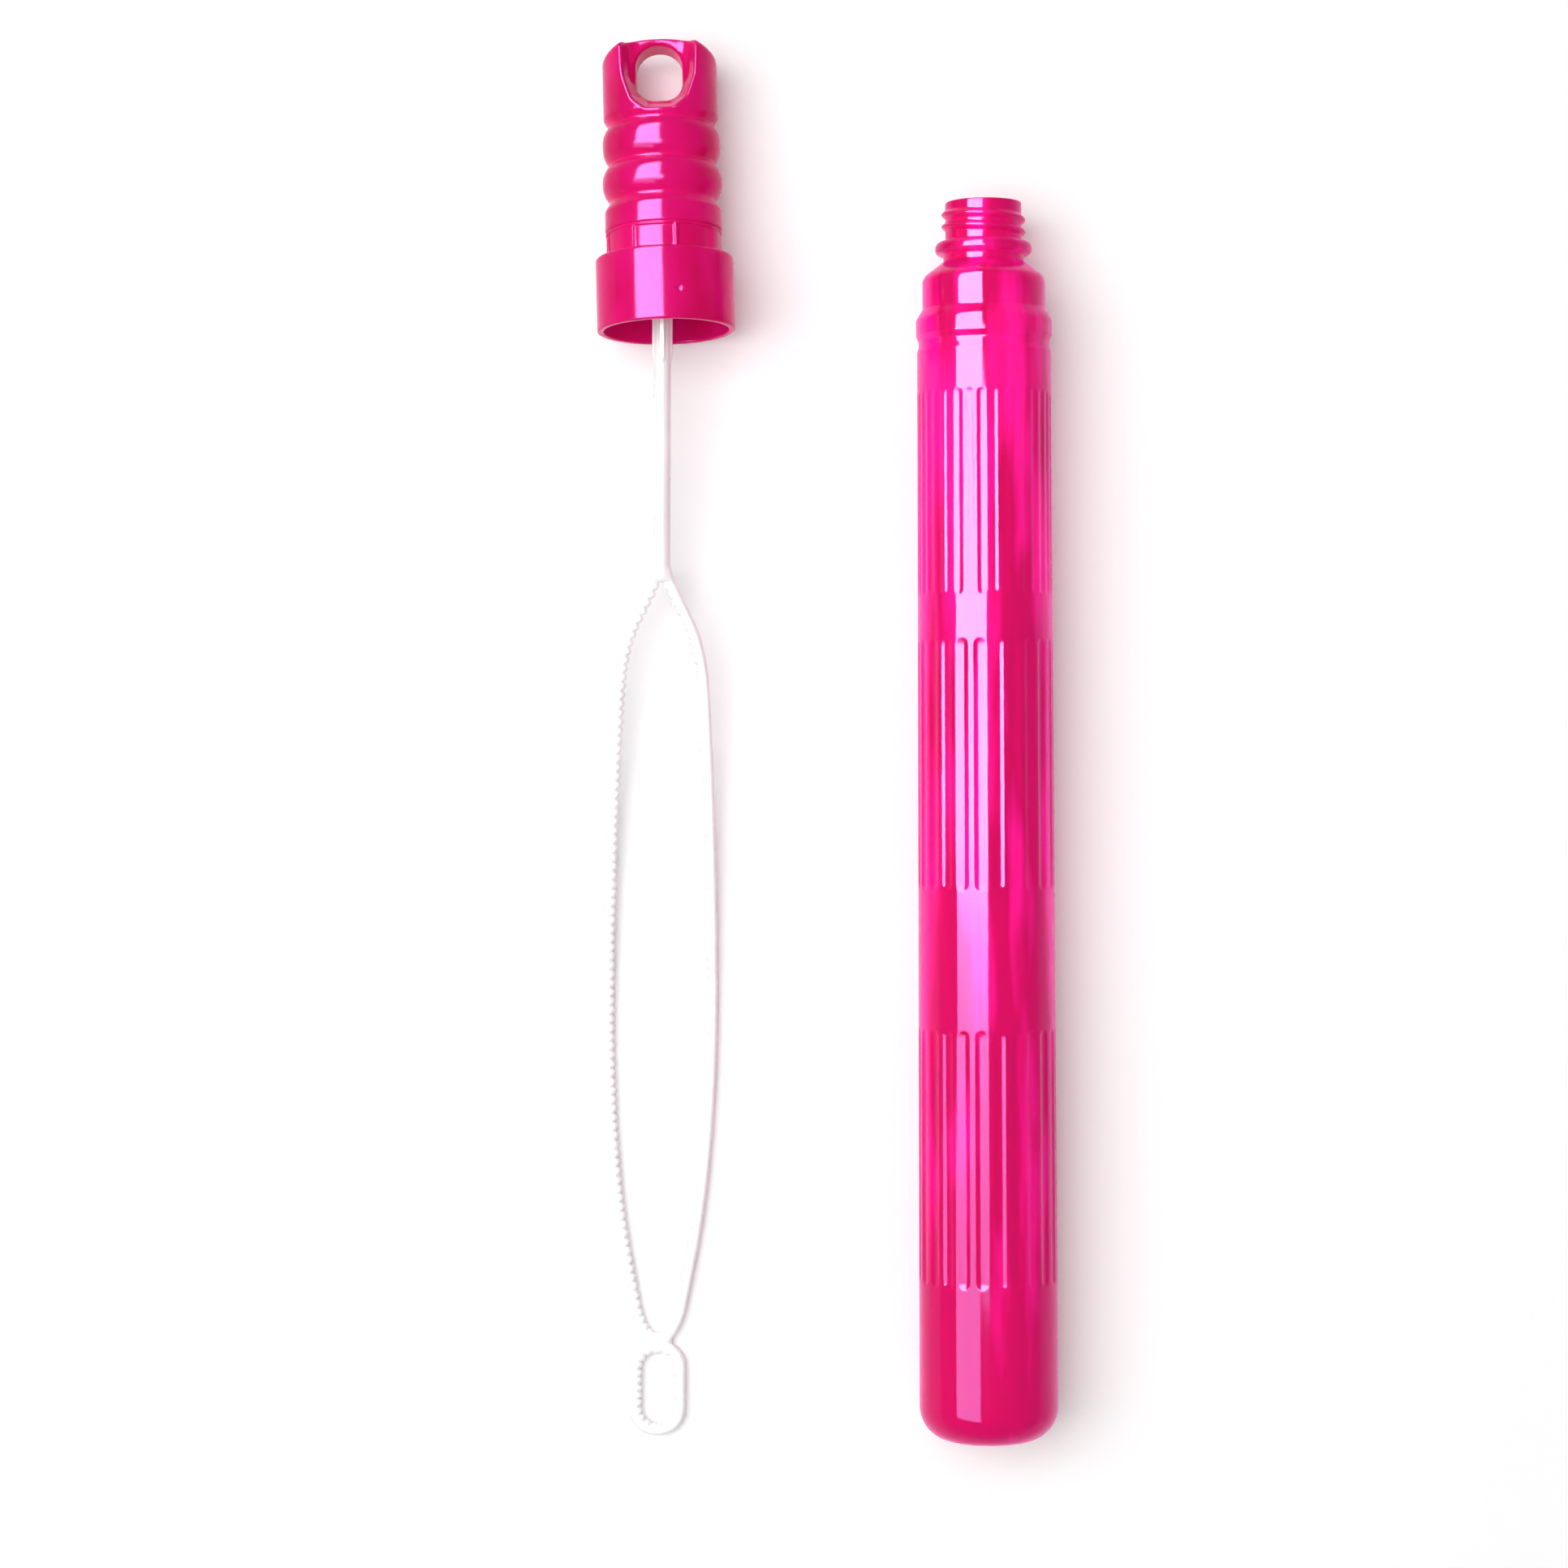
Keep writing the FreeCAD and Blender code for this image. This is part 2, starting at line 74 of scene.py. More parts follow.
class Dye(Enum):
    """Colours of the plastics, as linear red, green and blue."""

    HOT_PINK = (0.88, 0.011, 0.31)
    DEEP_PINK = (0.5, 0.003, 0.075)
    MAGENTA = (1.0, 0.03, 0.56)
    CAP_PINK = (0.67, 0.005, 0.14)
    CAP_DEEP = (0.56, 0.003, 0.085)
    CAP_EDGE = (0.98, 0.04, 0.42)
    WHITE = (0.88, 0.88, 0.875)
    SHADED_WHITE = (0.84, 0.84, 0.84)
    FOAM = (0.80, 0.80, 0.78)
    FOAM_PORE = (0.66, 0.66, 0.64)


class Slot(Enum):
    """Material slots of the record."""

    BOTTLE = "bottle"
    CAP = "cap"
    WAND = "wand"
    SEAL = "seal"


class Body(Enum):
    """Bodies of the frame that the pieces ride on."""

    BOTTLE = "bottle"
    SEAL = "seal"
    WAND = "wand"


def set_inputs(node: bpy.types.Node, values: dict[str, object]) -> None:
    """Sets sockets of a node by their names."""
    for name, value in values.items():
        node.inputs[name].default_value = value


def grey_ramp(tree: Tree, stops: tuple[Pair, ...]) -> bpy.types.Node:
    """Makes a ramp of greys.

    Args:
        tree: the node tree that it goes in.
        stops: places along the ramp and the grey at each; it starts at the first place
            and ends at the last.

    Returns:
        The ramp's node.
    """
    ramp = tree.nodes.new("ShaderNodeValToRGB")
    elements = ramp.color_ramp.elements
    while len(elements) < len(stops):
        elements.new(0.5)
    low, high = stops[0][0], stops[-1][0]
    for element, (place, grey) in zip(elements, stops):
        element.position = (place - low) / (high - low)
        element.color = (grey, grey, grey, 1.0)
    return ramp


def worked_out(tree: Tree, operation: str, first: Socket, second: Socket | float) -> Socket:
    """Works out one value from two.

    Args:
        tree: the node tree that the sum goes in.
        operation: kind of sum.
        first: socket of the first value.
        second: socket of the second value, or that value itself.

    Returns:
        The socket of the result.
    """
    node = tree.nodes.new("ShaderNodeMath")
    node.operation = operation
    tree.links.new(first, node.inputs[0])
    if isinstance(second, float):
        node.inputs[1].default_value = second
    else:
        tree.links.new(second, node.inputs[1])
    return node.outputs["Value"]


@dataclass(frozen=True)
class Plastic:
    """A moulded or blown plastic.

    Args:
        name: name of the material.
        dye: its main colour.
        deep: colour of its darker clouds.
        sheen: tint of the light that gathers along its edges.
        sheen_weight: how much of it.
        roughness: mean roughness.
        gloss: specular level.
        ior: index of refraction.
        glint: tint of the highlights.
        see_through: share of light that passes through.
        clouds: size of the clouds across and along, in millimetres.
        orange_peel: depth of the fine waves of its skin, in millimetres.
        painted_glow: strength of a painted glow, an emission that brightens it though it is no
            lamp.
        painted_shade_along: places along it, in millimetres towards +Y, and how much darker its
            colour is painted there, a painted shade for the light that falls off along it.
    """

    SHEEN_ROUGHNESS = 0.35
    ROUGHNESS_SPREAD = 0.25
    CLOUD_DETAIL = 2.0
    CLOUD_EDGES = (0.36, 0.56)
    WAVES_SCALE = 350.0
    WAVES_DETAIL = 3.0
    WAVES_STRENGTH = 0.35

    name: str
    dye: Dye
    deep: Dye
    sheen: Dye
    sheen_weight: float = 0.0
    roughness: float = 0.2
    gloss: float = 0.5
    ior: float = 1.5
    glint: Colour = (1.0, 1.0, 1.0)
    see_through: float = 0.0
    clouds: Pair = (16.0, 16.0)
    orange_peel: float = 0.01
    painted_glow: float = 0.0
    painted_shade_along: tuple[Pair, ...] = ()

    def material(self) -> bpy.types.Material:
        """Makes the node material.

        Returns:
            The new material.
        """
        mat = bpy.data.materials.new(self.name)
        mat.use_nodes = True
        tree = mat.node_tree
        shader = tree.nodes["Principled BSDF"]
        set_inputs(shader, {
            "IOR": self.ior,
            "Specular IOR Level": self.gloss,
            "Specular Tint": (*self.glint, 1.0),
            "Transmission Weight": self.see_through,
            "Sheen Weight": self.sheen_weight,
            "Sheen Roughness": self.SHEEN_ROUGHNESS,
            "Sheen Tint": (*self.sheen.value, 1.0),
            # The emission is a painted glow that brightens the plastic, though it is no lamp.
            "Emission Color": (*self.dye.value, 1.0),
            "Emission Strength": self.painted_glow,
        })
        cloud = self._clouds(tree)
        # The painted shade along the piece darkens the clouds here.
        shade = self._painted_shade(tree, cloud) if self.painted_shade_along else cloud
        tree.links.new(self._colour(tree, shade), shader.inputs["Base Color"])
        rough = tree.nodes.new("ShaderNodeMapRange")
        set_inputs(rough, {
            "To Min": self.roughness * (1 - self.ROUGHNESS_SPREAD),
            "To Max": self.roughness * (1 + self.ROUGHNESS_SPREAD),
        })
        tree.links.new(cloud, rough.inputs["Value"])
        tree.links.new(rough.outputs["Result"], shader.inputs["Roughness"])
        tree.links.new(self._skin(tree), shader.inputs["Normal"])
        return mat

    def _place(self, tree: Tree) -> Socket:
        """Place on the piece."""
        return tree.nodes.new("ShaderNodeTexCoord").outputs["Object"]

    def _clouds(self, tree: Tree) -> Socket:
        """Makes soft clouds that are drawn out along the piece.

        Args:
            tree: the material's nodes.

        Returns:
            The socket of the clouds' strength.
        """
        stretch = tree.nodes.new("ShaderNodeMapping")
        across, along = (1.0 / (size * MM) for size in self.clouds)
        set_inputs(stretch, {"Scale": (across, along, across)})
        cloud = tree.nodes.new("ShaderNodeTexNoise")
        set_inputs(cloud, {"Scale": 1.0, "Detail": self.CLOUD_DETAIL})
        tree.links.new(self._place(tree), stretch.inputs["Vector"])
        tree.links.new(stretch.outputs["Vector"], cloud.inputs["Vector"])
        return cloud.outputs["Fac"]

    def _painted_shade(self, tree: Tree, cloud: Socket) -> Socket:
        """Takes a painted shade off the clouds at each place along the piece.

        Args:
            tree: the material's nodes.
            cloud: the socket of the clouds' strength.

        Returns:
            The socket of what is left of it.
        """
        parts = tree.nodes.new("ShaderNodeSeparateXYZ")
        span = tree.nodes.new("ShaderNodeMapRange")
        set_inputs(span, {
            "From Min": self.painted_shade_along[0][0] * MM,
            "From Max": self.painted_shade_along[-1][0] * MM,
        })
        ramp = grey_ramp(tree, self.painted_shade_along)
        tree.links.new(self._place(tree), parts.inputs["Vector"])
        tree.links.new(parts.outputs["Y"], span.inputs["Value"])
        tree.links.new(span.outputs["Result"], ramp.inputs["Fac"])
        return worked_out(tree, "SUBTRACT", cloud, ramp.outputs["Color"])

    def _colour(self, tree: Tree, shade: Socket) -> Socket:
        """Makes the clouded colour.

        Args:
            tree: the material's nodes.
            shade: the socket of how pale the colour is.

        Returns:
            The socket of the colour.
        """
        ramp = tree.nodes.new("ShaderNodeValToRGB")
        dyes = (self.deep, self.dye)
        for element, place, dye in zip(ramp.color_ramp.elements, self.CLOUD_EDGES, dyes):
            element.position = place
            element.color = (*dye.value, 1.0)
        tree.links.new(shade, ramp.inputs["Fac"])
        return ramp.outputs["Color"]

    def _skin(self, tree: Tree) -> Socket:
        """Makes the faint waves of the moulded skin.

        Args:
            tree: the material's nodes.

        Returns:
            The socket of the waved surface's direction.
        """
        waves = tree.nodes.new("ShaderNodeTexNoise")
        set_inputs(waves, {"Scale": self.WAVES_SCALE, "Detail": self.WAVES_DETAIL})
        bump = tree.nodes.new("ShaderNodeBump")
        set_inputs(bump, {"Strength": self.WAVES_STRENGTH, "Distance": self.orange_peel * MM})
        tree.links.new(self._place(tree), waves.inputs["Vector"])
        tree.links.new(waves.outputs["Fac"], bump.inputs["Height"])
        return bump.outputs["Normal"]


LILAC_GLINT = (0.5, 0.34, 1.0)
PINK_BOTTLE = Plastic(
    "pink_bottle", Dye.HOT_PINK, Dye.DEEP_PINK, Dye.MAGENTA, sheen_weight=0.8,
    roughness=0.07, gloss=1.0, ior=1.2, glint=LILAC_GLINT, see_through=0.2,
    # Painted glow: the bottle's emission brightens it, though it is no lamp.
    clouds=(7.0, 60.0), orange_peel=0.015, painted_glow=0.16,
    # Painted shade: the colour is darker towards the base, where the light falls off, and near the
    # neck.
    painted_shade_along=(
        (-175.0, 0.28), (-120.0, 0.15), (-60.0, 0.09), (0.0, 0.07), (50.0, 0.02),
        (95.0, 0.02), (108.0, 0.09), (140.0, 0.14),
    ),
)
PINK_CAP = Plastic(
    "pink_cap", Dye.CAP_PINK, Dye.CAP_DEEP, Dye.CAP_EDGE, sheen_weight=0.4,
    roughness=0.12, gloss=0.55, ior=1.2, glint=LILAC_GLINT, clouds=(14.0, 22.0),
    # Painted glow: the cap's emission brightens it, though it is no lamp.
    painted_glow=0.05,
)
WHITE_WAND = Plastic(
    "white_wand", Dye.WHITE, Dye.SHADED_WHITE, Dye.WHITE, roughness=0.3, gloss=0.4,
)
WHITE_FOAM = Plastic(
    "white_foam", Dye.FOAM, Dye.FOAM_PORE, Dye.FOAM, roughness=0.75, gloss=0.2,
    clouds=(0.5, 0.5), orange_peel=0.12,
)


def add_piece(
    name: str, points: Points, faces: list | np.ndarray, finish: Plastic,
    body: Body,
) -> bpy.types.Object:
    """Makes a smooth piece that rides on a body and stands for its solid.

    Args:
        name: name of the piece.
        points: corners in millimetres, in the frame.
        faces: corner numbers of each face.
        finish: its plastic.
        body: the body it rides on.

    Returns:
        The new object.
    """
    mesh = bpy.data.meshes.new(name)
    mesh.from_pydata((points * MM).tolist(), [], [list(map(int, face)) for face in faces])
    mesh.materials.append(finish.material())
    mesh.polygons.foreach_set("use_smooth", [True] * len(mesh.polygons))
    mesh.update()
    piece = bpy.data.objects.new(name, mesh)
    bpy.context.scene.collection.objects.link(piece)
    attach(piece, body.value)
    LOG.info("%s: %d points, %d faces", name, len(mesh.vertices), len(mesh.polygons))
    return piece


def smooth_max(first: np.ndarray, second: np.ndarray, width: float) -> np.ndarray:
    """The larger of two distances, with the corner between them rounded."""
    near = np.maximum(width - np.abs(first - second), 0.0) / width
    return np.maximum(first, second) + near * near * width / 4


def smooth_min(first: np.ndarray, second: np.ndarray, width: float) -> np.ndarray:
    """The smaller of two distances, with the corner between them filled."""
    return -smooth_max(-first, -second, width)


def wrapped(value: np.ndarray, span: float) -> np.ndarray:
    """What is left of a value past the nearest multiple of a span."""
    return value - np.round(value / span) * span


def run_along(line: Points) -> np.ndarray:
    """Length along a line of points, from its start to each of them."""
    return np.concatenate([[0], np.cumsum(np.linalg.norm(np.diff(line, axis=0), axis=1))])


def two_corners(radius: float, span: Pair, first_round: float, last_round: float) -> list[Corner]:
    """The two corners of a straight stretch of an outline."""
    return [(radius, span[0], first_round), (radius, span[1], last_round)]


def rounded_outline(corners: list[Corner], closed: bool) -> Points:
    """Draws an outline whose corners are rounded.

    Args:
        corners: its corners.
        closed: whether the last corner runs back to the first.

    Returns:
        The points, two numbers each.
    """
    points = []
    spots = np.array([corner[:2] for corner in corners], float)
    last = len(corners) - 1
    for index, (across, along, radius) in enumerate(corners):
        spot = spots[index]
        if not radius or (not closed and index in (0, last)):
            points.append(spot)
            continue
        before = spots[index - 1] - spot
        after = spots[(index + 1) % len(spots)] - spot
        before /= np.linalg.norm(before)
        after /= np.linalg.norm(after)
        half = math.acos(np.clip(before @ after, -1, 1)) / 2
        start = spot + before * radius / math.tan(half)
        end = spot + after * radius / math.tan(half)
        middle = before + after
        centre = spot + middle / np.linalg.norm(middle) * radius / math.sin(half)
        turn = math.pi - half * 2
        steps = max(2, math.ceil(turn / math.radians(ARC_STEP_DEG)))
        share = np.linspace(0, 1, steps + 1)[:, None]
        arc = (
            np.sin((1 - share) * turn) * (start - centre)
            + np.sin(share * turn) * (end - centre)
        ) / math.sin(turn)
        points.extend(centre + arc)
    return np.array(points)


def outline_distance(
    outline: Points, across: np.ndarray, along: np.ndarray, reach: float
) -> np.ndarray:
    """Measures a grid's distances from a closed outline.

    Args:
        outline: points of the outline.
        across: the grid's places across.
        along: the grid's places along.
        reach: the largest distance that matters.

    Returns:
        The distances, one row for each place along, negative inside.
    """
    run = np.roll(outline, -1, 0) - outline
    ends = outline + run
    low = np.minimum(outline[:, 1], ends[:, 1])
    high = np.maximum(outline[:, 1], ends[:, 1])
    rows = []
    for chunk in np.array_split(along, max(1, len(along) // ROWS_AT_ONCE)):
        near = (high > chunk[0] - reach) & (low < chunk[-1] + reach)
        if not near.any():
            rows.append(np.full((len(chunk), len(across)), reach))
            continue
        start, step = outline[near], run[near]
        gap_x = across[None, :, None] - start[:, 0]
        gap_y = chunk[:, None, None] - start[:, 1]
        length = np.maximum((step**2).sum(1), TINY)
        share = np.clip((gap_x * step[:, 0] + gap_y * step[:, 1]) / length, 0, 1)
        away = (gap_x - share * step[:, 0]) ** 2 + (gap_y - share * step[:, 1]) ** 2
        distance = np.minimum(np.sqrt(away.min(-1)), reach)
        passed = (gap_y >= 0) != (gap_y - step[:, 1] >= 0)
        rise = np.where(np.abs(step[:, 1]) < TINY, TINY, step[:, 1])
        crossed = passed & (gap_y * step[:, 0] / rise > gap_x)
        inside = crossed.sum(-1) % 2 == 1
        rows.append(np.where(inside, -distance, distance))
    return np.concatenate(rows)


class FlatTable:
    """Values on a fine flat grid, read back in between.

    Args:
        low: its first place, across and along.
        high: its last place.
    """

    STEP = 0.1
    REACH = 6.0
    LAST_STEPS = 1.001

    def __init__(self, low: Pair, high: Pair) -> None:
        """Lays out the grid."""
        self.low = low
        self.across = np.arange(low[0], high[0] + self.STEP, self.STEP)
        self.along = np.arange(low[1], high[1] + self.STEP, self.STEP)
        self.values = np.full((len(self.along), len(self.across)), self.REACH)

    def outline(self, outline: Points) -> np.ndarray:
        """Distances of the grid from a closed outline."""
        return outline_distance(outline, self.across, self.along, self.REACH)

    def __call__(self, across: np.ndarray, along: np.ndarray) -> np.ndarray:
        """Reads the table.

        Args:
            across: places across.
            along: places along.

        Returns:
            The value at each place.
        """
        last_column = len(self.across) - self.LAST_STEPS
        last_row = len(self.along) - self.LAST_STEPS
        column = np.clip((across - self.low[0]) / self.STEP, 0, last_column)
        row = np.clip((along - self.low[1]) / self.STEP, 0, last_row)
        below, left = row.astype(int), column.astype(int)
        row, column = row - below, column - left
        table = self.values
        low = table[below, left] * (1 - column) + table[below, left + 1] * column
        high = table[below + 1, left] * (1 - column) + table[below + 1, left + 1] * column
        return low * (1 - row) + high * row


class Caster:
    """Meshes the zero level of a distance field with small, even quads.

    The space is searched in blocks of SPAN cells a side, CHUNK of them at a time, and the
    points are then pulled on to the surface PULLS times, by LONGEST_PULL of a cell at most.

    Args:
        field: the distance field.
        space: the two corners of the space to search.
        cell: side of a cell.
    """

    SPAN = 16
    CHUNK = 48
    SAFETY = 1.25
    PULLS = 4
    NUDGE = 0.1
    LEAST_SLOPE = 0.2
    LONGEST_PULL = 0.5

    def __init__(self, field: Field, space: tuple[Place, Place], cell: float) -> None:
        """Divides the space into blocks."""
        self.field = field
        self.cell = cell
        self.low = np.array(space[0], float)
        blocks = np.ceil((np.array(space[1]) - self.low) / cell / self.SPAN).astype(int)
        self.blocks = blocks
        self.count = blocks * self.SPAN + 1

    def mesh(self) -> tuple[Points, np.ndarray]:
        """Meshes the surface.

        Returns:
            Its corners and its quads.
        """
        keys, points, quads = [], [], []
        steps = np.arange(self.SPAN + 1)
        local = np.stack(np.meshgrid(steps, steps, steps, indexing="ij"), -1)
        near = self._near_blocks()
        for first in range(0, len(near), self.CHUNK):
            corner = near[first : first + self.CHUNK, None, None, None] + local
            places = (self.low + corner * self.cell).reshape(-1, 3)
            value = self.field(places).reshape(corner.shape[:-1])
            self._cells(corner, value, keys, points)
            self._quads(corner, value, quads)
        key = np.concatenate(keys)
        order = np.argsort(key)
        key = key[order]
        quad = np.concatenate(quads)
        found = np.searchsorted(key, quad)
        whole = (key[np.minimum(found, len(key) - 1)] == quad).all(1)
        if not whole.all():
            LOG.warning("%d quads have a missing corner", (~whole).sum())
        return self._pulled(np.concatenate(points)[order]), found[whole]

    def _near_blocks(self) -> np.ndarray:
        """Finds the blocks that the surface may run through.

        Returns:
            Their first corners, counted in cells.
        """
        axes = [np.arange(count) for count in self.blocks]
        grid = np.stack(np.meshgrid(*axes, indexing="ij"), -1).reshape(-1, 3) * self.SPAN
        side = self.SPAN * self.cell
        middle = self.low + grid * self.cell + side / 2
        return grid[np.abs(self.field(middle)) < side * math.sqrt(3) / 2 * self.SAFETY]

    def _key(self, corner: np.ndarray) -> np.ndarray:
        """One number for each cell."""
        rows = corner[..., 0].astype(np.int64) * self.count[1] + corner[..., 1]
        return rows * self.count[2] + corner[..., 2]

    def _side(self, value: np.ndarray, start: list[int]) -> np.ndarray:
        """Values of the blocks, moved by a start of 0 or 1 along each axis."""
        return value[(slice(None), *(slice(low, low + self.SPAN) for low in start))]

    def _cells(self, corner: np.ndarray, value: np.ndarray, keys: list, points: list) -> None:
        """Adds a point to each cell that the surface crosses.

        Args:
            corner: corners of the blocks' cells.
            value: the field at those corners.
            keys: list that the cells' numbers are added to.
            points: list that the points are added to.
        """
        span = self.SPAN
        total = np.zeros((*value[:, :span, :span, :span].shape, 3))
        count = np.zeros(total.shape[:-1])
        for axis in range(3):
            for side in range(4):
                start = [0, 0, 0]
                start[(axis + 1) % 3] = side & 1
                start[(axis + 2) % 3] = side >> 1
                end = list(start)
                end[axis] += 1
                first, second = self._side(value, start), self._side(value, end)
                crossed = (first < 0) != (second < 0)
                share = np.where(crossed, first / np.where(crossed, first - second, 1), 0)
                total[..., axis] += share
                for other in range(3):
                    total[..., other] += crossed * start[other]
                count += crossed
        active = count > 0
        cells = corner[:, :span, :span, :span][active]
        inner = total[active] / count[active][:, None]
        keys.append(self._key(cells))
        points.append(self.low + (cells + inner) * self.cell)

    def _quads(self, corner: np.ndarray, value: np.ndarray, quads: list) -> None:
        """Adds a quad around each grid edge that the surface crosses.

        Args:
            corner: corners of the blocks' cells.
            value: the field at those corners.
            quads: list that the quads are added to, as numbers of cells.
        """
        span = self.SPAN
        first = value[:, :span, :span, :span]
        for axis in range(3):
            end = [0, 0, 0]
            end[axis] = 1
            crossed = (first < 0) != (self._side(value, end) < 0)
            cells = corner[:, :span, :span, :span][crossed]
            one, two = np.zeros(3, int), np.zeros(3, int)
            one[(axis + 1) % 3] = 1
            two[(axis + 2) % 3] = 1
            around = [cells - one - two, cells - two, cells, cells - one]
            quad = np.stack([self._key(cell) for cell in around], 1)
            outward = (first[crossed] < 0)[:, None]
            quads.append(np.where(outward, quad, quad[:, ::-1]))

    def _pulled(self, points: Points) -> Points:
        """Pulls points on to the surface along the field's slope.

        Args:
            points: points near the surface.

        Returns:
            The points on it.
        """
        small = self.cell * self.NUDGE
        for _ in range(self.PULLS):
            value = self.field(points)
            slope = np.stack(
                [(self.field(points + nudge) - value) / small for nudge in np.eye(3) * small], 1
            )
            square = np.maximum((slope**2).sum(1), self.LEAST_SLOPE)
            step = slope * (value / square)[:, None]
            size = np.linalg.norm(step, axis=1, keepdims=True)
            longest = self.cell * self.LONGEST_PULL
            points = points - step * np.minimum(1, longest / np.maximum(size, TINY))
        return points


def turned_grid(rings: Points, looped: bool) -> tuple[Points, list]:
    """Makes a closed mesh from rings of points.

    Args:
        rings: grid of points, one row for each ring.
        looped: whether the last ring joins the first, else both ends are poles.

    Returns:
        The corners and the faces, facing outwards for rings that run up outside.
    """
    count, columns = rings.shape[:2]
    number = np.arange(count * columns).reshape(count, columns)
    if looped:
        number = np.concatenate([number, number[:1]])
    here, there = number[:-1], number[1:]
    quads = np.stack([here, np.roll(here, -1, 1), np.roll(there, -1, 1), there], -1)
    if looped:
        return rings.reshape(-1, 3), quads.reshape(-1, 4).tolist()
    quads = quads[1:-1].reshape(-1, 4) - (columns - 1)
    body = rings[1:-1].reshape(-1, 3)
    points = np.concatenate([rings[:1, :1].reshape(1, 3), body, rings[-1:, :1].reshape(1, 3)])
    foot = number[1] - (columns - 1)
    top = number[-2] - (columns - 1)
    end = len(points) - 1
    faces = quads.tolist()
    faces += [[0, after, here] for here, after in zip(foot, np.roll(foot, -1))]
    faces += [[end, here, after] for here, after in zip(top, np.roll(top, -1))]
    return points, faces


@dataclass(frozen=True)
class FluteBand:
    """One band of shallow upright flutes on the bottle.

    Args:
        start: where it starts, from the base.
        end: where it ends.
        count: number of flutes around.
        wide: width of a flute.
        depth: depth of a flute.
        first_deg: turn of one flute from the top, towards +X.
    """

    FULLNESS = 1.15

    start: float
    end: float
    count: int
    wide: float
    depth: float
    first_deg: float

    def sunk(self, along: np.ndarray, turn: np.ndarray, radius: np.ndarray) -> np.ndarray:
        """Works out how deep the band is sunk.

        Args:
            along: stations on the bottle.
            turn: turns around it, in radians.
            radius: radii of the plain wall there.

        Returns:
            The depth at each place.
        """
        pitch = math.tau / self.count
        side = wrapped(turn - math.radians(self.first_deg), pitch) * radius
        middle = (self.start + self.end) / 2
        beyond = np.maximum(np.abs(along - middle) - (self.end - self.start - self.wide) / 2, 0)
        share = np.clip(np.hypot(side, beyond) / (self.wide / 2), 0, 1)
        return self.depth * (1 - share**2) ** self.FULLNESS


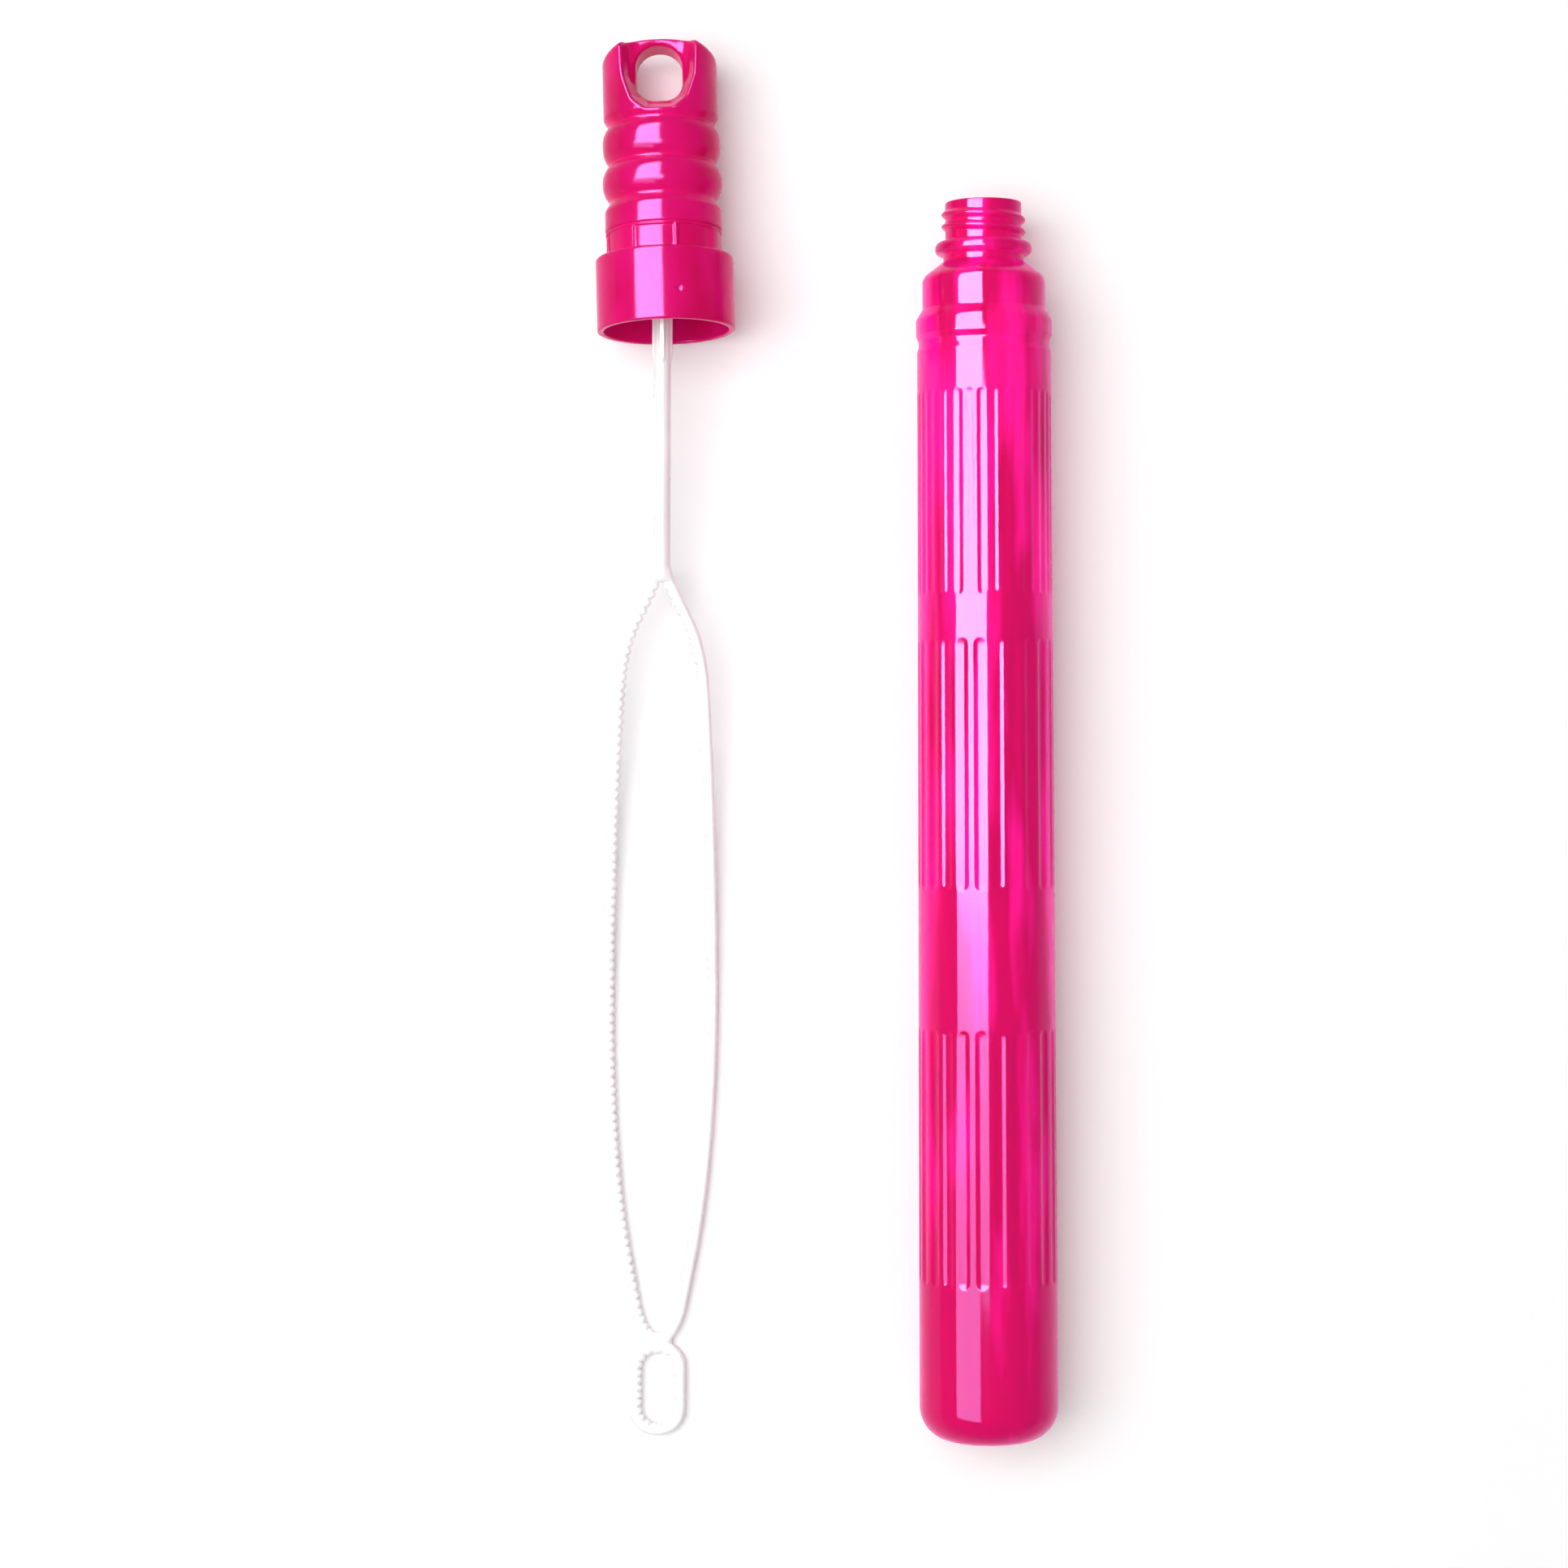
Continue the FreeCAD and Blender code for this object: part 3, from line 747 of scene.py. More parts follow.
@dataclass
class Bottle:
    """The blown tube with its flutes, shoulder and threaded neck.

    Stations run from the base to the mouth.

    Args:
        x: place of its axis.
        base_y: place of its base.
        z: height of its axis.
        length: station of its mouth.
        foot_r: radius of its foot.
        foot_round: rounding of its foot.
        rise_r: radii of the risen middle of its base, above and below.
        rise: how far that middle is risen, outside.
        taper: radius and station of three corners of its slightly tapered body.
        groove_r: radius of the groove below the ring.
        groove: stations of that groove.
        ring_r: radius of the ring.
        ring: stations of the ring.
        shoulder_r: radius of the shoulder.
        shoulder: stations of the shoulder.
        waist_r: radius of the waist below the bead.
        waist: station where the waist starts.
        bead_r: radius of the bead.
        bead: stations of the bead.
        neck_r: radius of the neck.
        bore_r: radius of the neck's bore.
        bore_end: station where the bore ends.
        inner_body: corners of the inner wall, from the shoulder to the foot.
        inner_floor: stations of the inner floor, at its edge and its risen middle.
        inner_flutes: share of the flutes' depth that shows on the inner wall.
        bands: the bands of flutes.
        thread_high: height of the thread.
        thread_half: half width of the thread.
        thread_top: station of the thread's middle a quarter turn before the top.
        thread_turns_deg: turns where the thread starts and ends.
        thread_fade_deg: turn in which it rises from the neck.
        thread_foot: station that it starts above.
        thread_seat_r: radius that the wall has at least where the thread stands on it.
        thread_fullness: how round its ridge is, lower for rounder.
        columns: number of mesh columns around.
        plain_steps: mesh step on plain wall, outside and inside.
        flute_steps: mesh step around the ends of the flutes, outside and inside.
        flute_reach: how far from those ends that step is used.
        thread_step: mesh step on the threaded neck.
        thread_step_from: station that this step is used above.
    """

    LAPS = range(-2, 3)
    STEP_SLACK = 1.4

    x: float = 40.8
    base_y: float = -178.86
    z: float = 17.7
    length: float = 316.4
    foot_r: float = 17.7
    foot_round: float = 8.5
    rise_r: Pair = (5.6, 8.2)
    rise: float = 1.8
    taper: tuple[Pair, Pair, Pair] = ((17.69, 30.0), (17.12, 250.0), (17.1, 278.0))
    groove_r: float = 16.7
    groove: Pair = (279.4, 280.7)
    ring_r: float = 17.35
    ring: Pair = (282.2, 286.2)
    shoulder_r: float = 15.68
    shoulder: Pair = (289.0, 297.0)
    waist_r: float = 10.3
    waist: float = 301.2
    bead_r: float = 12.36
    bead: Pair = (302.9, 306.3)
    neck_r: float = 9.75
    bore_r: float = 8.5
    bore_end: float = 301.1
    inner_body: tuple[Corner, ...] = (
        (14.58, 295.8, 2.0), (14.58, 288.5, 1.0), (16.1, 286.0, 1.0), (15.6, 280.8, 1.0),
        (15.6, 279.2, 1.0), (16.0, 277.6, 1.0), (16.4, 30.0, 0.0), (16.1, 1.4, 7.4),
    )
    inner_floor: Pair = (1.4, 2.9)
    inner_flutes: float = 0.7
    bands: tuple[FluteBand, ...] = (
        FluteBand(40.4, 105.6, 24, 3.3, 0.36, 7.1),
        FluteBand(140.8, 204.6, 24, 3.3, 0.36, 7.1),
        FluteBand(215.6, 267.6, 36, 2.4, 0.22, 4.5),
    )
    thread_high: float = 1.0
    thread_half: float = 1.25
    thread_top: float = 313.3
    thread_turns_deg: Pair = (-250.0, 610.0)
    thread_fade_deg: float = 40.0
    thread_foot: float = 306.6
    thread_seat_r: float = 9.7
    thread_fullness: float = 1.5
    columns: int = 576
    plain_steps: Pair = (1.6, 2.4)
    flute_steps: Pair = (0.3, 0.5)
    flute_reach: float = 3.2
    thread_step: float = 0.16
    thread_step_from: float = 305.0

    def outside(self) -> Points:
        """Draws the outer wall.

        Returns:
            Its outline from the base to the mouth.
        """
        (low_r, low), (high_r, high), (top_r, top) = self.taper
        return rounded_outline(
            [
                (0, self.rise, 0), (self.rise_r[0], self.rise, 1.5), (self.rise_r[1], 0, 1.0),
                (self.foot_r, 0, self.foot_round),
                (low_r, low, 0), (high_r, high, 0), (top_r, top, 0.9),
                *two_corners(self.groove_r, self.groove, 0.6, 0.6),
                *two_corners(self.ring_r, self.ring, 1.2, 2.4),
                *two_corners(self.shoulder_r, self.shoulder, 1.0, 3.0),
                *two_corners(self.waist_r, (self.waist, self.bead[0]), 0.6, 0.4),
                *two_corners(self.bead_r, self.bead, 1.3, 1.7),
                *two_corners(self.neck_r, (self.bead[1], self.length), 0.5, 0.5),
                (self.bore_r, self.length, 0),
            ],
            False,
        )

    def inside(self) -> Points:
        """Draws the inner wall.

        Returns:
            Its outline from the mouth to the base.
        """
        edge, middle = self.inner_floor
        return rounded_outline(
            [
                *two_corners(self.bore_r, (self.length, self.bore_end), 0, 0.8),
                *self.inner_body,
                (self.rise_r[1], edge, 0.8), (self.rise_r[0], middle, 1.2), (0, middle, 0),
            ],
            False,
        )

    def step_at(self, along: float, inner: bool) -> float:
        """Chooses how far apart two rings of the mesh may be.

        Args:
            along: station on the bottle.
            inner: whether the rings are on the inner wall.

        Returns:
            The largest step.
        """
        for band in self.bands:
            if min(abs(along - band.start), abs(along - band.end)) < self.flute_reach:
                return self.flute_steps[inner]
        if along > self.thread_step_from and not inner:
            return self.thread_step
        return self.plain_steps[inner]

    def spaced(self, outline: Points, inner: bool) -> Points:
        """Divides an outline into steps small enough for what is drawn on it.

        Args:
            outline: points of the outline.
            inner: whether it is the inner wall's.

        Returns:
            The points with more between them.
        """
        points = [outline[0]]
        for target in outline[1:]:
            while True:
                here = points[-1]
                gap = np.linalg.norm(target - here)
                step = self.step_at(float(here[1]), inner)
                if gap <= step * self.STEP_SLACK:
                    break
                points.append(here + (target - here) * step / gap)
            points.append(target)
        return np.array(points)

    def rings(self, outline: Points, inner: bool) -> Points:
        """Turns an outline around the axis, with the flutes and the thread on it.

        Args:
            outline: points of the outline.
            inner: whether it is the inner wall's.

        Returns:
            The rings of points in the frame, one row for each.
        """
        points = self.spaced(outline, inner)
        turn = np.arange(self.columns) / self.columns * math.tau
        radius = np.repeat(points[:, :1], self.columns, 1)
        along = np.repeat(points[:, 1:], self.columns, 1)
        share = self.inner_flutes if inner else 1.0
        for band in self.bands:
            radius = radius - band.sunk(along, turn, radius) * share
        if not inner:
            radius = radius + self.thread(along, turn) * (radius > self.thread_seat_r)
        across = np.sin(turn) * radius + self.x
        return np.stack([across, along + self.base_y, np.cos(turn) * radius + self.z], -1)

    def thread(self, along: np.ndarray, turn: np.ndarray) -> np.ndarray:
        """Works out the height of the thread's ridge.

        Args:
            along: stations on the bottle.
            turn: turns around it, in radians.

        Returns:
            The height at each place.
        """
        low, high = self.thread_turns_deg
        fade = self.thread_fade_deg
        ridge = np.zeros_like(along)
        turn_deg = np.degrees(turn)
        for lap in self.LAPS:
            total = turn_deg + lap * 360
            centre = self.thread_top - THREAD_PITCH * (total + 90) / 360
            ends = np.clip((total - low) / fade, 0, 1) * np.clip((high - total) / fade, 0, 1)
            side = np.clip(1 - np.abs(along - centre) / self.thread_half, 0, 1)
            shape = np.sin(side * math.pi / 2) ** self.thread_fullness
            shape = shape * np.sin(ends * math.pi / 2)
            ridge = np.maximum(ridge, shape * self.thread_high * (along > self.thread_foot))
        return ridge

    def build(self) -> None:
        """Makes the bottle."""
        rings = np.concatenate(
            [self.rings(self.outside(), False), self.rings(self.inside(), True)[1:]]
        )
        points, faces = turned_grid(rings, False)
        piece = add_piece(
            "visual_bottle", points, faces, PINK_BOTTLE, Body.BOTTLE
        )
        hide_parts("bottle")


@dataclass
class CapSeat:
    """Where the cap lies.

    Args:
        x: place of the middle of its rim.
        y: the same, along the table.
        z: the same, above the table.
        yaw_deg: turn of its axis on the table.
        tilt_deg: lean of its axis, with the opening up.
    """

    x: float = -40.4
    y: float = 104.78
    z: float = 19.031
    yaw_deg: float = 1.36
    tilt_deg: float = 4.608

    def placed(self, points: Points) -> Points:
        """Brings points to the frame.

        Args:
            points: points about the cap's own axis, with its rim at zero.

        Returns:
            The points in the frame.
        """
        lean, yaw = math.radians(self.tilt_deg), math.radians(self.yaw_deg)
        x = points[:, 0]
        y = points[:, 1] * math.cos(lean) + points[:, 2] * math.sin(lean)
        z = -points[:, 1] * math.sin(lean) + points[:, 2] * math.cos(lean)
        return np.stack(
            [
                x * math.cos(yaw) - y * math.sin(yaw) + self.x,
                x * math.sin(yaw) + y * math.cos(yaw) + self.y,
                z + self.z,
            ],
            1,
        )


@dataclass
class CapHandle:
    """The screw collar and the grip with its cord hole, in one moulding.

    Stations run from the rim to the crown.

    Args:
        seat: where the cap lies.
        cell: side of its mesh's cells.
        space: corners of the space that its mesh is searched in.
        turned_space: the same for the table of its turned outline.
        rim_space: the same for the table of the scoop's rim.
        length: station of the crown.
        collar_r: radius of the collar.
        collar_end: station where the collar ends.
        grip_r: radius of the grip.
        grip_end: station where its plain part ends.
        valley_r: radius of the valleys between the bulges.
        valleys: stations of the valleys.
        bulges: radius and stations of the bulges.
        bulge_round: rounding of the bulges.
        crown_r: radius of the crown.
        crown_start: station where the crown starts.
        crown_arch: how far its top falls away at the sides.
        crown_edge: rounding of its top's edge.
        arch_scale: share that makes the arch's height a distance.
        mouth_r: radius of the opening.
        mouth_end: station where the opening narrows to the thread.
        thread_bore: radius of the threaded bore and the station where it ends.
        washer_bore: the same for the bore of the washer and the wand's head.
        hollow: the same for the hollow of the grip.
        past_axis: radius beyond the axis that closes the outline.
        window_middle: station of the middle of the band of windows.
        window_half: half width of that band.
        window_depth: how deep the windows are sunk.
        rib_wide: width of the ribs between the windows.
        rib_first_deg: turn of one rib from the top.
        rib_pitch_deg: turn from rib to rib.
        rib_edge: rounding of the ribs.
        step_place: station of the line above the windows.
        step_half: half width of that line.
        step_depth: how deep it is.
        step_edge: rounding of its edges.
        gate_place: station and turn of the gate's dimple.
        gate_ball: radius of the ball that the dimple is pressed with.
        gate_lift: how far the ball's middle is outside the collar.
        scoop_corners: corners of the scoop's rim, seen from in front.
        scoop_face: half thickness left between the scoops.
        scoop_slope: how far the scoop's wall leans out.
        scoop_round: rounding of the scoop's foot.
        scoop_edge: rounding of the scoop's rim.
        hole_middle: station of the middle of the cord hole.
        hole_half: half width and half length of the hole.
        hole_round: rounding of the hole's corners, below and above.
        hole_edge: rounding of its edges.
        fine_edge: rounding of the finest edges.
        thread_place: station that the inner thread passes at the top.
        thread_flank: slope of its flanks.
        thread_half: half width of the ridge, measured across a flank.
        thread_r: radii of its crest and its root.
        thread_middle: station of the middle of the thread.
        thread_reach: how far it reaches from there.
    """

    seat: CapSeat
    cell: float = 0.3
    space: tuple[Place, Place] = ((-19.5, -1.7, -19.5), (19.5, 77.3, 19.5))
    turned_space: tuple[Pair, Pair] = ((0.0, -3.0), (20.0, 80.0))
    rim_space: tuple[Pair, Pair] = ((0.0, 45.0), (20.0, 80.0))
    length: float = 75.4
    collar_r: float = 17.65
    collar_end: float = 18.9
    grip_r: float = 14.95
    grip_end: float = 30.9
    valley_r: float = 13.45
    valleys: tuple[float, float, float] = (33.4, 42.9, 52.9)
    bulges: tuple[tuple[float, Pair], ...] = ((15.35, (35.7, 40.7)), (15.1, (45.2, 50.6)))
    bulge_round: float = 6.2
    crown_r: float = 14.7
    crown_start: float = 54.9
    crown_arch: float = 4.8
    crown_edge: float = 1.6
    arch_scale: float = 0.96
    mouth_r: float = 15.95
    mouth_end: float = 13.4
    thread_bore: Pair = (12.76, 19.0)
    washer_bore: Pair = (11.35, 31.4)
    hollow: Pair = (9.6, 52.0)
    past_axis: float = -5.0
    window_middle: float = 22.0
    window_half: float = 2.8
    window_depth: float = 0.5
    rib_wide: float = 0.9
    rib_first_deg: float = 13.9
    rib_pitch_deg: float = 45.0
    rib_edge: float = 0.2
    step_place: float = 25.5
    step_half: float = 0.3
    step_depth: float = 0.55
    step_edge: float = 0.15
    gate_place: Pair = (7.6, 13.0)
    gate_ball: float = 1.25
    gate_lift: float = 0.85
    scoop_corners: tuple[Corner, ...] = (
        (11.9, 90.0, 0), (10.4, 64.0, 6.0), (7.6, 57.4, 4.0), (3.6, 54.6, 2.0),
    )
    scoop_face: float = 5.3
    scoop_slope: float = 0.37
    scoop_round: float = 2.6
    scoop_edge: float = 1.0
    hole_middle: float = 66.1
    hole_half: Pair = (5.9, 7.2)
    hole_round: Pair = (4.4, 5.7)
    hole_edge: float = 1.3
    fine_edge: float = 0.3
    thread_place: float = 21.0
    thread_flank: float = 0.9
    thread_half: float = 0.45
    thread_r: Pair = (10.85, 11.8)
    thread_middle: float = 24.2
    thread_reach: float = 4.2

    def __post_init__(self) -> None:
        """Draws the tables of the turned outline and of the scoop's rim."""
        self.turned = FlatTable(*self.turned_space)
        self.turned.values = self.turned.outline(self.outline())
        self.rim = FlatTable(*self.rim_space)
        self.rim.values = self.rim.outline(self.scoop_rim())

    def outline(self) -> Points:
        """Draws the turned body and its bores.

        Returns:
            The closed outline.
        """
        (thread_r, thread_end), (washer_r, washer_end) = self.thread_bore, self.washer_bore
        hollow_r, hollow_end = self.hollow
        swell = self.bulge_round
        first, second = (two_corners(*bulge, swell, swell) for bulge in self.bulges)
        return rounded_outline(
            [
                (self.mouth_r, 0, 0.4),
                *two_corners(self.collar_r, (0, self.collar_end), 0.5, 0.9),
                *two_corners(self.grip_r, (self.collar_end, self.grip_end), 0.4, 1.2),
                (self.valley_r, self.valleys[0], 1.0), *first,
                (self.valley_r, self.valleys[1], 0.7), *second,
                (self.valley_r, self.valleys[2], 0.7),
                *two_corners(self.crown_r, (self.crown_start, self.length), 0.9, 4.2),
                *two_corners(self.past_axis, (self.length, hollow_end), 0, 0),
                *two_corners(hollow_r, (hollow_end, washer_end), 0.6, 0.2),
                *two_corners(washer_r, (washer_end, thread_end), 0.2, 0.3),
                *two_corners(thread_r, (thread_end, self.mouth_end), 0.3, 0.3),
                (self.mouth_r, self.mouth_end, 0.3),
            ],
            True,
        )

    def scoop_rim(self) -> Points:
        """Rim of the scoop where it meets the crown, seen from in front."""
        left = [(-half, along, radius) for half, along, radius in self.scoop_corners]
        return rounded_outline(left + list(self.scoop_corners[::-1]), True)

    def field(self, points: Points) -> np.ndarray:
        """Measures how far points are from the cap's skin.

        Args:
            points: points about the cap's own axis.

        Returns:
            Their distances, negative in the plastic.
        """
        across, along, high = points.T
        radius = np.hypot(across, high)
        turn = np.degrees(np.arctan2(across, high))
        arch = along - self.length + self.crown_arch * (across / self.crown_r) ** 2
        body = smooth_max(self.turned(radius, along), arch * self.arch_scale, self.crown_edge)
        body = smooth_max(body, -self.windows(radius, along, turn), self.fine_edge)
        body = smooth_max(body, -self.step_line(radius, along), self.step_edge)
        body = smooth_max(body, -self.gate(across, along, high), self.fine_edge)
        body = smooth_max(body, -self.scoop(across, along, high), self.scoop_edge)
        body = smooth_max(body, -self.hole(across, along), self.hole_edge)
        return smooth_min(body, self.thread(radius, along, turn), self.fine_edge)

    def windows(self, radius: np.ndarray, along: np.ndarray, turn: np.ndarray) -> np.ndarray:
        """Measures distances from the sunk band of windows, less its ribs.

        Args:
            radius: radii of the points.
            along: their stations.
            turn: their turns from the top, in degrees.

        Returns:
            The distances, negative in the windows.
        """
        floor = self.grip_r - self.window_depth
        beyond = np.abs(along - self.window_middle) - self.window_half
        band = smooth_max(beyond, floor - radius, self.rib_edge)
        side = wrapped(turn - self.rib_first_deg, self.rib_pitch_deg)
        rib = radius * np.abs(np.sin(np.radians(side))) - self.rib_wide / 2
        return smooth_max(band, -rib, self.rib_edge)

    def step_line(self, radius: np.ndarray, along: np.ndarray) -> np.ndarray:
        """The fine line above the windows."""
        beyond = np.abs(along - self.step_place) - self.step_half
        return np.maximum(beyond, self.grip_r - self.step_depth - radius)

    def gate(self, across: np.ndarray, along: np.ndarray, high: np.ndarray) -> np.ndarray:
        """Measures distances from the small dimple that the gate leaves on the collar.

        Args:
            across: places of the points across.
            along: their stations.
            high: their heights.

        Returns:
            The distances, negative in the dimple.
        """
        place, turn_deg = self.gate_place
        away = self.collar_r + self.gate_lift
        side = across - away * math.sin(math.radians(turn_deg))
        up = high - away * math.cos(math.radians(turn_deg))
        return np.sqrt(side**2 + (along - place) ** 2 + up**2) - self.gate_ball

    def scoop(self, across: np.ndarray, along: np.ndarray, high: np.ndarray) -> np.ndarray:
        """Measures distances from the dished scoops in front of and behind the cord hole.

        Args:
            across: places of the points across.
            along: their stations.
            high: their heights.

        Returns:
            The distances, negative in the scoops.
        """
        lean = math.hypot(1, self.scoop_slope)
        up = np.abs(high)
        wall = self.rim(np.abs(across), along) + (self.crown_r - up) * self.scoop_slope
        return smooth_max(wall / lean, self.scoop_face - up, self.scoop_round)

    def hole(self, across: np.ndarray, along: np.ndarray) -> np.ndarray:
        """Measures distances from the cord hole, which is rounder at its top.

        Args:
            across: places of the points across.
            along: their stations.

        Returns:
            The distances, negative in the hole.
        """
        place = along - self.hole_middle
        radius = np.where(place < 0, self.hole_round[0], self.hole_round[1])
        side = np.abs(across) - self.hole_half[0] + radius
        end = np.abs(place) - self.hole_half[1] + radius
        outer = np.hypot(np.maximum(side, 0), np.maximum(end, 0))
        return np.minimum(np.maximum(side, end), 0) + outer - radius

    def thread(self, radius: np.ndarray, along: np.ndarray, turn: np.ndarray) -> np.ndarray:
        """Measures distances from the ridge inside that meets the bottle's thread.

        Args:
            radius: radii of the points.
            along: their stations.
            turn: their turns from the top, in degrees.

        Returns:
            The distances, negative in the ridge.
        """
        crest, root = self.thread_r
        offset = wrapped(along - self.thread_place + THREAD_PITCH * turn / 360, THREAD_PITCH)
        flank = np.abs(offset) * self.thread_flank - self.thread_half
        ridge = np.maximum(flank, crest - radius)
        ridge = np.maximum(ridge, np.abs(along - self.thread_middle) - self.thread_reach)
        return np.maximum(ridge, radius - root)

    def build(self) -> None:
        """Makes the cap."""
        points, faces = Caster(self.field, self.space, self.cell).mesh()
        piece = add_piece(
            "visual_cap_handle", self.seat.placed(points), faces, PINK_CAP, Body.WAND
        )
        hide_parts("cap_handle")


@dataclass
class Droop:
    """The line that the wand hangs along, from its head down to the table.

    Args:
        root: place of the middle of the head's front face.
        yaw_deg: turn of the line on the table.
        tilt_deg: how steeply it rises at the head.
        sag_deg: how steeply it falls in its straight part.
        top_round: radius of its upper bend.
        low_round: radius of its lower bend.
        lie: height at which it lies on the table.
    """

    root: Place = (-41.107, 134.575, 16.629)
    yaw_deg: float = 0.66
    tilt_deg: float = 4.608
    sag_deg: float = 6.0
    top_round: float = 260.0
    low_round: float = 600.0
    lie: float = 1.5

    def slope_and_height(self, along: np.ndarray) -> tuple[np.ndarray, np.ndarray]:
        """Follows the line.

        Args:
            along: distances from the head.

        Returns:
            The slope and the height of the line there.
        """
        tilt, sag = math.radians(self.tilt_deg), math.radians(self.sag_deg)
        bend_end = self.top_round * (math.sin(tilt) + math.sin(sag))
        bend_height = self.root[2] + self.top_round * (math.cos(sag) - math.cos(tilt))
        landing_height = self.lie + self.low_round * (1 - math.cos(sag))
        landing = bend_end + (bend_height - landing_height) / math.tan(sag)
        rest = landing + self.low_round * math.sin(sag)
        bend = np.arcsin(math.sin(tilt) - np.clip(along, 0, bend_end) / self.top_round)
        flare = np.clip(along, landing, rest) - landing
        lay = np.arcsin(flare / self.low_round - math.sin(sag))
        slope = np.where(along < landing, bend, lay)
        height = self.root[2] + self.top_round * (np.cos(bend) - math.cos(tilt))
        height = height + np.minimum(along, 0) * math.tan(tilt)
        height = height - np.clip(along - bend_end, 0, landing - bend_end) * math.tan(sag)
        height = height - self.low_round * (np.cos(lay) - math.cos(sag))
        return slope, height

    def placed(self, points: Points) -> Points:
        """Bends the straight wand along the line.

        Args:
            points: points of the straight wand, across, along and high.

        Returns:
            The points in the frame.
        """
        across, along, high = points.T
        slope, height = self.slope_and_height(along)
        run = along - high * np.sin(slope)
        turn = math.pi - math.radians(self.yaw_deg)
        return np.stack(
            [
                across * math.cos(turn) - run * math.sin(turn) + self.root[0],
                across * math.sin(turn) + run * math.cos(turn) + self.root[1],
                height + high * np.cos(slope),
            ],
            1,
        )


@dataclass
class Wand:
    """Head, stem, long loop and tip loop with their teeth, in one moulding.

    Stations run from the front of the head to the tip.

    Args:
        droop: the line that it hangs along.
        cell: side of its mesh's cells.
        space: corners of the space that its mesh is searched in.
        plan_space: the same for the table of its flat plan.
        thick: thickness of the loops.
        edge_round: rounding of their edges.
        stem_r: radius of the stem.
        stem_start: station where the stem starts, inside the head.
        stem_end: station where it ends.
        stem_end_round: rounding of its end.
        web_end: station where the crossed webs end.
        web_half: half width and half thickness of a web.
        web_round: rounding of the webs.
        web_end_round: rounding of their ends.
        web_join: fillet of the webs and the stem.
        head_r: radius of the head.
        head_thick: thickness of the head.
        head_round: rounding of the head.
        head_join: fillet of the head and the stem.
        head_yaw_deg: turn of the head, which is square to the cap.
        spigot_r: radius of the spigot.
        spigot_end: how far it stands behind the head's front.
        spigot_round: rounding of the spigot.
        spigot_sink: how far it starts inside the head.
        spigot_join: fillet of the spigot and the head.
        loop_start: station where the long loop starts.
        loop_end: station where it ends.
        loop_half: half width of the long loop.
        loop_member: width of its member.
        loop_edge: rounding of its plan's corners.
        loop_join: fillet of the loops and the stem.
        loop_shares: shares of the loop's length, and of its half width there.
        inner_least: half width where its inner outline is cut off at both ends.
        curve_points: number of points that the curve is measured with.
        tooth_pitch: distance from tooth to tooth in the long loop.
        tooth_depth: depth of those teeth.
        tooth_fullness: how round the teeth of both loops are, lower for rounder.
        tooth_points: points of the outline for each tooth.
        tip_start: station where the tip loop starts.
        tip_end: station where it ends.
        tip_half: half width of the tip loop.
        tip_round: rounding of the tip loop.
        tip_member: width of its member.
        tip_pitch: distance from tooth to tooth in the tip loop.
        tip_depth: depth of those teeth.
        neck_half: half width of the neck between the loops.
        neck_join: fillet of the neck and the loops.
    """

    MIRROR = (-1.0, 1.0)

    droop: Droop
    cell: float = 0.2
    space: tuple[Place, Place] = ((-16.6, -5.6, -12.8), (16.6, 316.6, 12.8))
    plan_space: tuple[Pair, Pair] = ((0.0, 87.0), (17.0, 317.0))
    thick: float = 3.0
    edge_round: float = 0.95
    stem_r: float = 2.2
    stem_start: float = -1.0
    stem_end: float = 92.8
    stem_end_round: float = 1.5
    web_end: float = 38.0
    web_half: Pair = (2.6, 0.7)
    web_round: float = 0.4
    web_end_round: float = 2.5
    web_join: float = 0.5
    head_r: float = 11.3
    head_thick: float = 1.5
    head_round: float = 0.3
    head_join: float = 0.6
    head_yaw_deg: float = 0.7
    spigot_r: float = 9.55
    spigot_end: float = 3.7
    spigot_round: float = 0.5
    spigot_sink: float = 0.4
    spigot_join: float = 0.2
    loop_start: float = 90.3
    loop_end: float = 290.6
    loop_half: float = 14.95
    loop_member: float = 2.5
    loop_edge: float = 0.05
    loop_join: float = 1.6
    loop_shares: tuple[Pair, ...] = (
        (0.0, 0.147), (0.03, 0.33), (0.08, 0.645), (0.185, 0.86), (0.342, 0.95),
        (0.52, 1.0), (0.62, 0.995), (0.72, 0.935), (0.84, 0.776), (0.945, 0.524),
        (0.985, 0.355), (1.0, 0.21),
    )
    inner_least: float = 0.5
    curve_points: int = 400
    tooth_pitch: float = 2.32
    tooth_depth: float = 0.75
    tooth_fullness: float = 0.8
    tooth_points: int = 8
    tip_start: float = 290.3
    tip_end: float = 314.9
    tip_half: float = 7.3
    tip_round: float = 6.8
    tip_member: float = 2.7
    tip_pitch: float = 1.95
    tip_depth: float = 0.75
    neck_half: float = 3.1
    neck_join: float = 1.2

    def __post_init__(self) -> None:
        """Draws the flat plan of both loops."""
        self.plan = FlatTable(*self.plan_space)
        ring, tip = (self.cut_plan(*loop) for loop in (self.long_loop(), self.tip_loop()))
        across, along = np.meshgrid(self.plan.across, self.plan.along)
        start, end = self.loop_end - self.loop_member, self.tip_start + self.tip_member
        neck = np.maximum(
            across - self.neck_half, np.abs(along - (start + end) / 2) - (end - start) / 2
        )
        both = smooth_min(ring, tip, self.neck_join)
        self.plan.values = smooth_min(both, neck, self.neck_join)

    def cut_plan(self, outer: Points, inner: Points) -> np.ndarray:
        """The plan of a loop, from its outer and inner outlines."""
        cut = -self.plan.outline(inner)
        return smooth_max(self.plan.outline(outer), cut, self.loop_edge)

